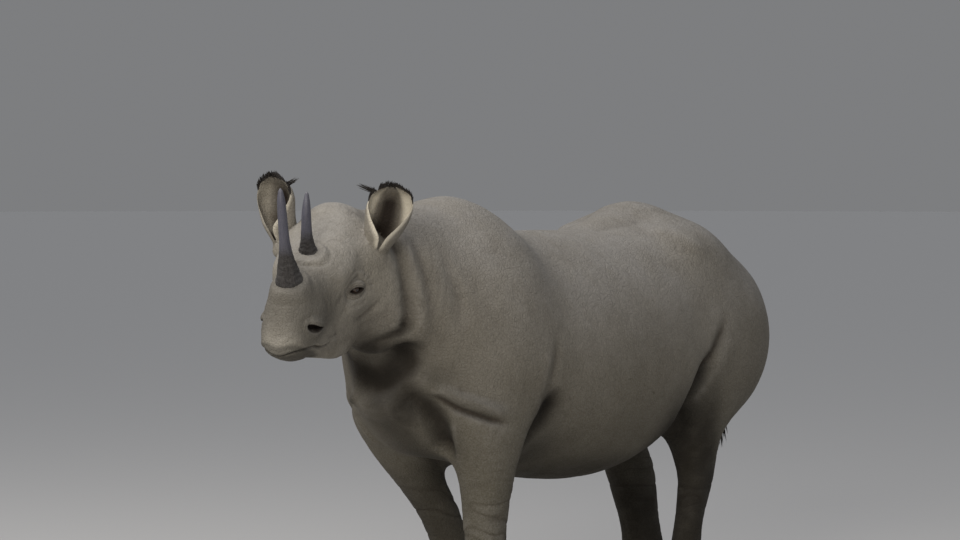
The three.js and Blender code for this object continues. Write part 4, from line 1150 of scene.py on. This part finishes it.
hide_paint, tree, shader, places = paint("hide_paint")
height = node(tree, "ShaderNodeSeparateXYZ", {0: places}).outputs["Z"]
mottle = spread(tree, noise(tree, places, 3.2, 7.0, 0.62), 0.32, 0.68)
tone = mixed(tree, mottle, *HIDE_TONES)
# The skin grows darker and more olive toward the ground.
lower_tone_level = maths(tree, "ADD", height, maths(tree, "MULTIPLY", noise(tree, places, 5.0, 5.0), 0.35))
tone = mixed(tree, spread(tree, lower_tone_level, *LOWER_TONE_HEIGHTS, 0.95, 0.0), tone, LOWER_TONE)
tone = mixed(tree, used(tree, dust, places, Amount=0.42)["Mask"], tone, DUST_TONE)
small = used(tree, cracks, places, Scale=78.0)["Lines"]
large = used(tree, cracks, vectors(tree, "MULTIPLY", places, (1.0, 1.0, 1.35)), Scale=24.0)["Lines"]
pits = used(tree, grain, places, Scale=170.0)
crease = attribute(tree, "crease")["Fac"]
thinned = spread(tree, noise(tree, places, 16.0, 5.0), 0.25, 0.60, 0.85, 1.0)
# Painted shadow, broken up by noise.
painted_shadow = maths(tree, "MULTIPLY", attribute(tree, "painted_shadow")["Fac"], thinned)
tone = tinted(tree, tone, CRACK_TONE, small, 0.16)
tone = tinted(tree, tone, CRACK_TONE, large, 0.07)
tone = tinted(tree, tone, GRAIN_TONE, pits["Tone"], 0.22)
tone = tinted(tree, tone, RIDGE_WEAR_AND_HIGHLIGHT_TONE, attribute(tree, "ridge")["Fac"], 0.30)
# Painted shade in the creases, then broad painted shadow.
tone = tinted(tree, tone, CREASE_SHADE_TONE, crease, 0.80)
tone = mixed(tree, painted_shadow, tone, PAINTED_SHADOW_TONE)
# The ears' pale inner walls are partly painted light; the dark of the ears' cores, the nostrils and the lids'
# margins is partly painted shade.
for name, colour in (("pale", PALE_TONE), ("cream_and_painted_light", CREAM_AND_PAINTED_LIGHT_TONE), ("dark", DARK_TONE)):
    tone = mixed(tree, attribute(tree, name)["Fac"], tone, colour)
tree.links.new(tone, shader["Base Color"])
tree.links.new(spread(tree, noise(tree, places, 9.0, 4.0), 0.3, 0.7, 0.74, 0.92), shader["Roughness"])
wrinkles = noise(tree, vectors(tree, "MULTIPLY", places, (1.0, 1.0, 0.45)), 42.0, 5.0, 0.6)
relief = maths(tree, "MULTIPLY", small, -0.30)
for part, share in ((large, -0.16), (wrinkles, 1.1), (pits["Height"], 0.45)):
    relief = maths(tree, "ADD", relief, maths(tree, "MULTIPLY", part, share))
bumped(tree, shader, relief, 0.75, HIDE_RELIEF)
shader["Specular IOR Level"].default_value = 0.25
hide.data.materials.append(hide_paint)
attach(hide, "root")
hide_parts(*FLESH, "tail", "ear_left", "ear_right")

# ---- Eyes ----
# Small, dark, wet balls deep between the lids, with a clear bulge over the brown iris.

EYE_ROWS, EYE_COLUMNS = 32, 48
EYE_SHRUNK = 0.0004  # the white is this much smaller than the ball
IRIS_RADIUS = 0.0105
CORNEA_RISE = 0.0016
CORNEA_EDGE = (0.006, 0.0125)  # distances from the front over which the bulge runs out
IRIS_TONES = (0.022, 0.012, 0.006, 1), (0.060, 0.034, 0.018, 1)
PUPIL_TONE = (0.003, 0.002, 0.002, 1)
WHITE_TONE = (0.045, 0.030, 0.022, 1)

eye_paint, tree, shader, places = paint("eye_paint")
off_centre = attribute(tree, "off_centre")["Fac"]
iris = mixed(tree, noise(tree, places, 700.0, 3.0), *IRIS_TONES)
iris = mixed(tree, spread(tree, off_centre, 0.38, 0.48), PUPIL_TONE, iris)
tree.links.new(mixed(tree, spread(tree, off_centre, 0.95, 1.15), iris, WHITE_TONE), shader["Base Color"])
shader["Roughness"].default_value = 0.16
shader["Coat Weight"].default_value = 0.35
shader["Coat Roughness"].default_value = 0.03


def ball_net(rows, count):
    """A ball's points, as their turns from its pole and round it, and its triangles."""
    from_pole = np.linspace(0, math.pi, rows + 2)[1:-1]
    round_pole = np.linspace(0, math.tau, count, endpoint=False)
    polar, turn = [g.ravel() for g in np.meshgrid(from_pole, round_pole, indexing="ij")]
    return np.concatenate([polar, [0, math.pi]]), np.concatenate([turn, [0, 0]]), closed_rings(rows, count)


for name, side in EYES.items():
    polar, turn, ball_faces = ball_net(EYE_ROWS, EYE_COLUMNS)
    radius = EYE_RADIUS - EYE_SHRUNK + CORNEA_RISE * (1 - ramp(EYE_RADIUS * polar, *CORNEA_EDGE))
    local = np.stack([np.sin(polar) * np.cos(turn), np.sin(polar) * np.sin(turn), np.cos(polar)], 1)
    ball_points = eye_centre(name) + (local * radius[:, None]) @ face_axes(EYE_AHEAD, EYE_TILT, side)
    eye = built("detailed_" + name, ball_points, turned_out(ball_points, ball_faces, eye_centre(name)))
    stored(eye, "off_centre", np.sin(polar) * EYE_RADIUS / IRIS_RADIUS + 10 * (polar > 1.6))
    eye.data.materials.append(eye_paint)
    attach(eye, "root")
    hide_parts(name)

# ---- Horns ----
# Two horns of matted fibre on rough bosses. The root is brown, ragged and ringed, the shaft is worn to a
# smooth, slender grey spike that leans back toward its tip. The shaft's grey is tinted blue, a painted
# reflection of the sky.

HORNS = {
    "horn_front": {
        "root": (0.498, 0, -0.030), "height": 0.345, "hook": 0.072, "lean": -0.018,
        "girth": [0.045, 0.0410, 0.0350, 0.0285, 0.0225, 0.0190, 0.0175, 0.0168, 0.016, 0.0138, 0.0065],
    },
    "horn_rear": {
        "root": (0.314, 0.006, -0.034), "height": 0.222, "hook": 0.078, "lean": -0.008,
        "girth": [0.042, 0.032, 0.024, 0.020, 0.018, 0.0165, 0.013, 0.005],
    },
}
HORN_RINGS, HORN_SIDES = 130, 72
LUMPS, STRANDS, RINGS = 0.0050, 0.0032, 0.0007  # heights of the relief at the root
WORN_STRANDS = 0.0008  # height of the relief on the shaft
BOSS = 0.004  # how much thicker the very root is
ROOT_TONES = (0.008, 0.0065, 0.005, 1), (0.020, 0.016, 0.013, 1)
# The shaft's grey fibre, tinted blue as a painted reflection of the sky.
SHAFT_TONES_AND_SKY_SHEEN = (0.044, 0.044, 0.062, 1), (0.090, 0.089, 0.120, 1)
HORN_GRAIN_TONE = (0.30, 0.28, 0.27, 1)
HORN_DUST_TONE = (0.36, 0.34, 0.32, 1)

horn_paint, tree, shader, places = paint("horn_paint")
along = attribute(tree, "along")["Fac"]
fibres = noise(tree, attribute(tree, "fibre")["Vector"], 1.0, 5.0, 0.6)
ragged = maths(tree, "ADD", along, maths(tree, "MULTIPLY", noise(tree, places, 22.0), 0.16))
worn = spread(tree, ragged, 0.40, 0.62)
root_tone = mixed(tree, spread(tree, fibres, 0.3, 0.7), *ROOT_TONES)
shaft_and_sheen_tone = mixed(tree, spread(tree, fibres, 0.25, 0.75), *SHAFT_TONES_AND_SKY_SHEEN)
tone = mixed(tree, worn, root_tone, shaft_and_sheen_tone)
tone = tinted(tree, tone, HORN_GRAIN_TONE, used(tree, grain, places, Scale=240.0)["Tone"], 0.18)
tone = mixed(tree, used(tree, dust, places, Amount=0.22)["Mask"], tone, HORN_DUST_TONE)
tree.links.new(tone, shader["Base Color"])
tree.links.new(spread(tree, worn, 0.0, 1.0, 0.78, 0.40), shader["Roughness"])
relief = maths(tree, "MULTIPLY", fibres, spread(tree, worn, 0.0, 1.0, 1.0, 0.25))
bumped(tree, shader, relief, 0.8, 0.003)

for seed, (name, horn) in enumerate(HORNS.items(), 20):
    foot = np.array(horn["root"])
    knee = foot + (0.004, 0, 0.45 * horn["height"])
    tip = foot + (-horn["hook"], horn["lean"], horn["height"])
    t = np.linspace(0, 1, HORN_RINGS)[:, None]
    path = from_head((1 - t) ** 2 * foot + 2 * t * (1 - t) * knee + t**2 * tip)
    angles = np.linspace(0, math.tau, HORN_SIDES, endpoint=False)
    radius = curve(np.linspace(0, 1, len(horn["girth"])), horn["girth"], t[:, 0])[:, None]
    grid_t, turn = [g.ravel() for g in np.broadcast_arrays(t, angles[None])]
    around_it = np.stack([np.cos(turn), np.sin(turn)], 1)
    lumps = cloud(np.column_stack([around_it * 3.2, grid_t * 9]) + 40, seed) - 0.5
    strands = cloud(np.column_stack([around_it * 17, grid_t * 7]) + 40, seed + 5) - 0.5
    rings = np.sin(95 * grid_t + 5 * cloud(np.column_stack([around_it * 2, grid_t * 12]) + 40, seed + 9))
    rough = 1 - ramp(grid_t, 0.20, 0.55)
    extra = rough * (LUMPS * lumps + STRANDS * strands + RINGS * rings) + WORN_STRANDS * strands * (1 - rough)
    extra += BOSS * (1 - ramp(grid_t, 0.05, 0.16))
    blunt = np.sqrt(np.maximum(1 - ramp(grid_t, 0.965, 1.0) ** 2 * 0.9, 0.02))
    radii = (radius + extra.reshape(HORN_RINGS, -1)) * blunt.reshape(HORN_RINGS, -1)
    thing = built("detailed_" + name, *swept(path, angles, radii))
    stored(thing, "along", np.concatenate([grid_t, [0, 1]]))
    stored(thing, "fibre", np.vstack([np.column_stack([around_it * 9, grid_t * 6]), [(0, 0, 0), (0, 0, 6)]]))
    thing.data.materials.append(horn_paint)
    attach(thing, "root")
    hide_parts(name)

# ---- Toenails ----
# Three thick, blunt nails on each foot, one ahead and two at the sides, ridged as they grow and worn
# level by the ground.

NAIL_LIFT = 0.004  # the worn edge is this far off the floor
NAIL_ROWS, NAIL_COLUMNS = 28, 36
NAIL_SQUARENESS = 0.8  # 1 for an oval nail, less for a squarer one
NAIL_BEND = 0.11  # radius by which the nail bends round the toe
NAIL_TONES = (0.060, 0.050, 0.038, 1), (0.165, 0.145, 0.115, 1)
NAIL_CRACK_TONE = (0.03, 0.025, 0.02, 1)
NAIL_DUST_TONE = (0.33, 0.30, 0.25, 1)

nail_paint, tree, shader, places = paint("nail_paint")
growth = noise(tree, attribute(tree, "fibre")["Vector"], 1.0, 4.0, 0.6)
tone = mixed(tree, spread(tree, growth, 0.3, 0.7), *NAIL_TONES)
tone = tinted(tree, tone, NAIL_CRACK_TONE, used(tree, cracks, places, Scale=60.0)["Lines"], 0.35)
tone = mixed(tree, used(tree, dust, places, Amount=0.7)["Mask"], tone, NAIL_DUST_TONE)
tree.links.new(tone, shader["Base Color"])
pits = used(tree, grain, places, Scale=260.0)
tree.links.new(spread(tree, pits["Tone"], 0.0, 1.0, 0.55, 0.80), shader["Roughness"])
relief = maths(tree, "ADD", growth, maths(tree, "MULTIPLY", pits["Height"], 0.3))
bumped(tree, shader, relief, 0.7, 0.002)


def squared(value):
    return np.sign(value) * np.abs(value) ** NAIL_SQUARENESS


def nail_shape(middle, axes, seed):
    """A nail's points and triangles, and the places that its growth lines follow."""
    p, q, shape = ball_net(NAIL_ROWS, NAIL_COLUMNS)
    a = NAIL_HALF[0] * squared(np.sin(p)) * squared(np.cos(q))
    n = NAIL_HALF[1] * np.sin(p) * np.sin(q) - 0.5 * a**2 / NAIL_BEND
    b = NAIL_HALF[2] * squared(np.cos(p))
    fibre = np.stack([a * 420, n * 120, b * 70], 1)
    n += 0.0012 * (cloud(np.stack([a * 260, 0 * a + 3, b * 30], 1) + 40, seed) - 0.5) * (n > 0)
    n += 0.0008 * np.sin(b * 420 + 2 * np.cos(a * 60)) * (n > 0)
    places = middle + np.stack([a, n, b], 1) @ axes
    places[:, 2] = np.maximum(places[:, 2], NAIL_LIFT)
    return places, turned_out(places, shape, middle), fibre


nails = {}
for seed, (foot, middle, axes) in enumerate(toe_frames(), 40):
    nails.setdefault(foot, []).append(nail_shape(middle, axes, seed))
for foot, shapes in nails.items():
    thing = built("toenails_" + foot, *gathered([shape[:2] for shape in shapes]))
    stored(thing, "fibre", np.vstack([fibre for _, _, fibre in shapes]))
    thing.data.materials.append(nail_paint)
    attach(thing, "root")
    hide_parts(*[f"toenail_{foot}_{number}" for number in (1, 2, 3)])

# ---- Hair ----
# A rhinoceros is bare but for coarse black hair: a fringe along the upper rims of its ears and a tassel
# on the two edges of its tail. Each hair here is a slim, bent, solid lock, rooted in the skin.

LOCK_STEPS, LOCK_SIDES = 5, 4
LOCK_TAPER = 0.88  # share of its thickness that a lock loses toward its tip
LOCK_PATCH = 0.003  # width of a lock's patch in the coat's map
HAIR_TONES = (0.010, 0.008, 0.007, 1), (0.040, 0.032, 0.026, 1)
HAIR_DUST_TONE = (0.20, 0.17, 0.14, 1)
FRINGES = {"fringe_left": 1, "fringe_right": -1}  # each with its side of the head
FRINGE_LOCKS = 620
RIM_FROM, TIP_FROM = 0.76, 0.93  # shares of the ear's length
FRINGE_LENGTH, FRINGE_THICKNESS = 0.017, 0.0011
WISP_AT = 0.91  # share of the ear's length where a longer wisp bends inward from the rim
WISP_LENGTH = 0.050
TASSEL_LOCKS = 420
TASSEL_LENGTH, TASSEL_THICKNESS = 0.115, 0.0017
TASSEL_FROM, TASSEL_TO = 0.66, 0.995  # shares of the tail's length
TASSEL_FOOT = 0.515  # no lock hangs lower than this


def lock_tree():
    """Locks at given points: each takes its direction, length and patch of the coat's map from its root."""
    tree = bpy.data.node_groups.new("locks", "GeometryNodeTree")
    tree.interface.new_socket("Geometry", in_out="INPUT", socket_type="NodeSocketGeometry")
    sockets = {}
    for label, kind in (("Bend", "Float"), ("Thickness", "Float"), ("Seed", "Int"), ("Material", "Material")):
        socket = tree.interface.new_socket(label, in_out="INPUT", socket_type="NodeSocket" + kind)
        sockets[label.lower()] = socket.identifier
    tree.interface.new_socket("Geometry", in_out="OUTPUT", socket_type="NodeSocketGeometry")
    given = tree.nodes.new("NodeGroupInput").outputs

    def shape(kind, inputs, **settings):
        return node(tree, "GeometryNode" + kind, inputs, **settings).outputs[0]

    def triple(*values):
        return node(tree, "ShaderNodeCombineXYZ", dict(enumerate(values))).outputs[0]

    def named(name, kind):
        return shape("InputNamedAttribute", {"Name": name}, data_type=kind)

    middle = triple(maths(tree, "MULTIPLY", given["Bend"], 0.15), 0.0, 0.55)
    spine = shape("CurveQuadraticBezier", {"Resolution": LOCK_STEPS, "Start": (0, 0, 0), "Middle": middle,
                                           "End": triple(given["Bend"], 0.0, 1.0)})
    factor = node(tree, "GeometryNodeSplineParameter").outputs["Factor"]
    taper = maths(tree, "SUBTRACT", 1.0, maths(tree, "MULTIPLY", factor, LOCK_TAPER))
    spine = shape("SetCurveRadius", {"Curve": spine, "Radius": taper})
    spine = shape("StoreNamedAttribute", {"Geometry": spine, "Name": "along", "Value": factor},
                  data_type="FLOAT", domain="POINT")
    ring = shape("CurvePrimitiveCircle", {"Resolution": LOCK_SIDES, "Radius": 1.0})
    lock = shape("CurveToMesh", {"Curve": spine, "Profile Curve": ring, "Fill Caps": True})
    turn = node(tree, "FunctionNodeAlignRotationToVector", {"Vector": named("lie", "FLOAT_VECTOR")}, axis="Z")
    spin = node(tree, "FunctionNodeRandomValue",
                {"Min": (0, 0, -math.pi), "Max": (0, 0, math.pi), "Seed": given["Seed"]},
                data_type="FLOAT_VECTOR").outputs[0]
    turned = node(tree, "FunctionNodeRotateRotation", {0: turn.outputs[0], 1: spin}, rotation_space="LOCAL")
    size = triple(given["Thickness"], given["Thickness"], named("length", "FLOAT"))
    solid = shape("InstanceOnPoints", {"Points": given["Geometry"], "Instance": lock,
                                       "Rotation": turned.outputs[0], "Scale": size})
    solid = shape("RealizeInstances", {"Geometry": solid})
    own = triple(maths(tree, "MULTIPLY", named("along", "FLOAT"), LOCK_PATCH))
    patch = vectors(tree, "ADD", named("patch", "FLOAT_VECTOR"), own)
    solid = shape("StoreNamedAttribute", {"Geometry": solid, "Name": "OFBake", "Value": patch},
                  data_type="FLOAT2", domain="CORNER")
    solid = shape("SetMaterial", {"Geometry": solid, "Material": given["Material"]})
    tree.links.new(solid, tree.nodes.new("NodeGroupOutput").inputs[0])
    return tree, sockets


locks, lock_sockets = lock_tree()


def grown(name, roots, lies, lengths, patches, **inputs):
    """Locks of hair as one plain mesh."""
    mesh = bpy.data.meshes.new(name)
    mesh.vertices.add(len(roots))
    mesh.vertices.foreach_set("co", roots.astype(np.float32).ravel())
    thing = bpy.data.objects.new(name, mesh)
    stored(thing, "lie", lies)
    stored(thing, "patch", patches)
    stored(thing, "length", lengths)
    bpy.context.scene.collection.objects.link(thing)
    modifier = thing.modifiers.new("locks", "NODES")
    modifier.node_group = locks
    for key, value in inputs.items():
        modifier[lock_sockets[key]] = value
    solid = bpy.data.meshes.new_from_object(thing.evaluated_get(bpy.context.evaluated_depsgraph_get()))
    thing.modifiers.remove(modifier)
    thing.data = solid
    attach(thing, "root")


hair_paint, tree, shader, places = paint("hair_paint")
strand = noise(tree, places, 160.0, 3.0)
tone = mixed(tree, strand, *HAIR_TONES)
tone = mixed(tree, used(tree, dust, places, Amount=0.12)["Mask"], tone, HAIR_DUST_TONE)
tree.links.new(tone, shader["Base Color"])
tree.links.new(spread(tree, strand, 0.2, 0.8, 0.45, 0.70), shader["Roughness"])

# One half of a fringe grows on the two rims, the other all over the tip of the ear.
chance = np.random.default_rng(7)
half = FRINGE_LOCKS // 2
for name, side in FRINGES.items():
    t = np.concatenate([chance.uniform(RIM_FROM, 1.0, half), chance.uniform(TIP_FROM, 1.0, half)])
    share = np.concatenate([chance.choice([-1.0, 1.0], half), chance.uniform(-1, 1, half)])
    share[:half] *= chance.uniform(0.93, 1.0, half)
    depth = chance.uniform(0.1, 0.6, FRINGE_LOCKS)
    roots = ear_places(side, t, share, depth)
    inner = ear_places(side, t - 0.05, share * 0.9, depth)
    up = ear_axes(side)[0] @ HEAD_FRAME[1]
    lies = unit(roots - inner) + 0.5 * up + chance.normal(0, 0.16, roots.shape)
    lies += 0.35 * unit(np.array((0, -1, 0.1))) * ramp(t, 0.6, 0.9)[:, None]
    lengths = FRINGE_LENGTH * chance.uniform(0.6, 1.25, FRINGE_LOCKS) * (0.45 + 0.75 * ramp(t, 0.55, 0.95))
    wisp = (share * side > 0.90) & (np.abs(t - WISP_AT) < 0.025)
    inward = np.array((0.35, -side, 0.08)) @ HEAD_FRAME[1]
    lies = np.where(wisp[:, None], 0.5 * lies + 1.3 * inward, lies)
    lengths = np.where(wisp, WISP_LENGTH * chance.uniform(0.3, 1.1, FRINGE_LOCKS), lengths)
    patches = np.stack([0.5 + 0.25 * side + 0.2 * share, 0.1 + 0.75 * t, 0 * t], 1)
    grown(name, roots, unit(lies), lengths, patches,
          bend=0.25, thickness=FRINGE_THICKNESS, seed=3, material=hair_paint)

t = chance.uniform(TASSEL_FROM, 1.0, TASSEL_LOCKS) ** 0.8
t = np.clip(t, TASSEL_FROM, TASSEL_TO)
index = (t * (len(tail_path) - 1)).astype(int)
edge = chance.choice([-1.0, 1.0], TASSEL_LOCKS)
turn = chance.normal(0, 0.5, TASSEL_LOCKS)
out = np.stack([np.sin(turn), edge * np.cos(turn), 0 * turn], 1)
roots = tail_path[index] + out * (girth[index] * 0.8)[:, None]
lies = unit(out * 0.16 + np.array((0, 0, -1.0)) + chance.normal(0, 0.05, out.shape))
lengths = np.minimum(TASSEL_LENGTH * chance.uniform(0.6, 1.1, TASSEL_LOCKS), roots[:, 2] - TASSEL_FOOT)
patches = np.stack([0.5 + 0.1 * edge + turn * 0.05, 0.05 + 0.9 * t, 0 * t], 1)
grown("tassel", roots, lies, lengths, patches,
      bend=0.10, thickness=TASSEL_THICKNESS, seed=5, material=hair_paint)
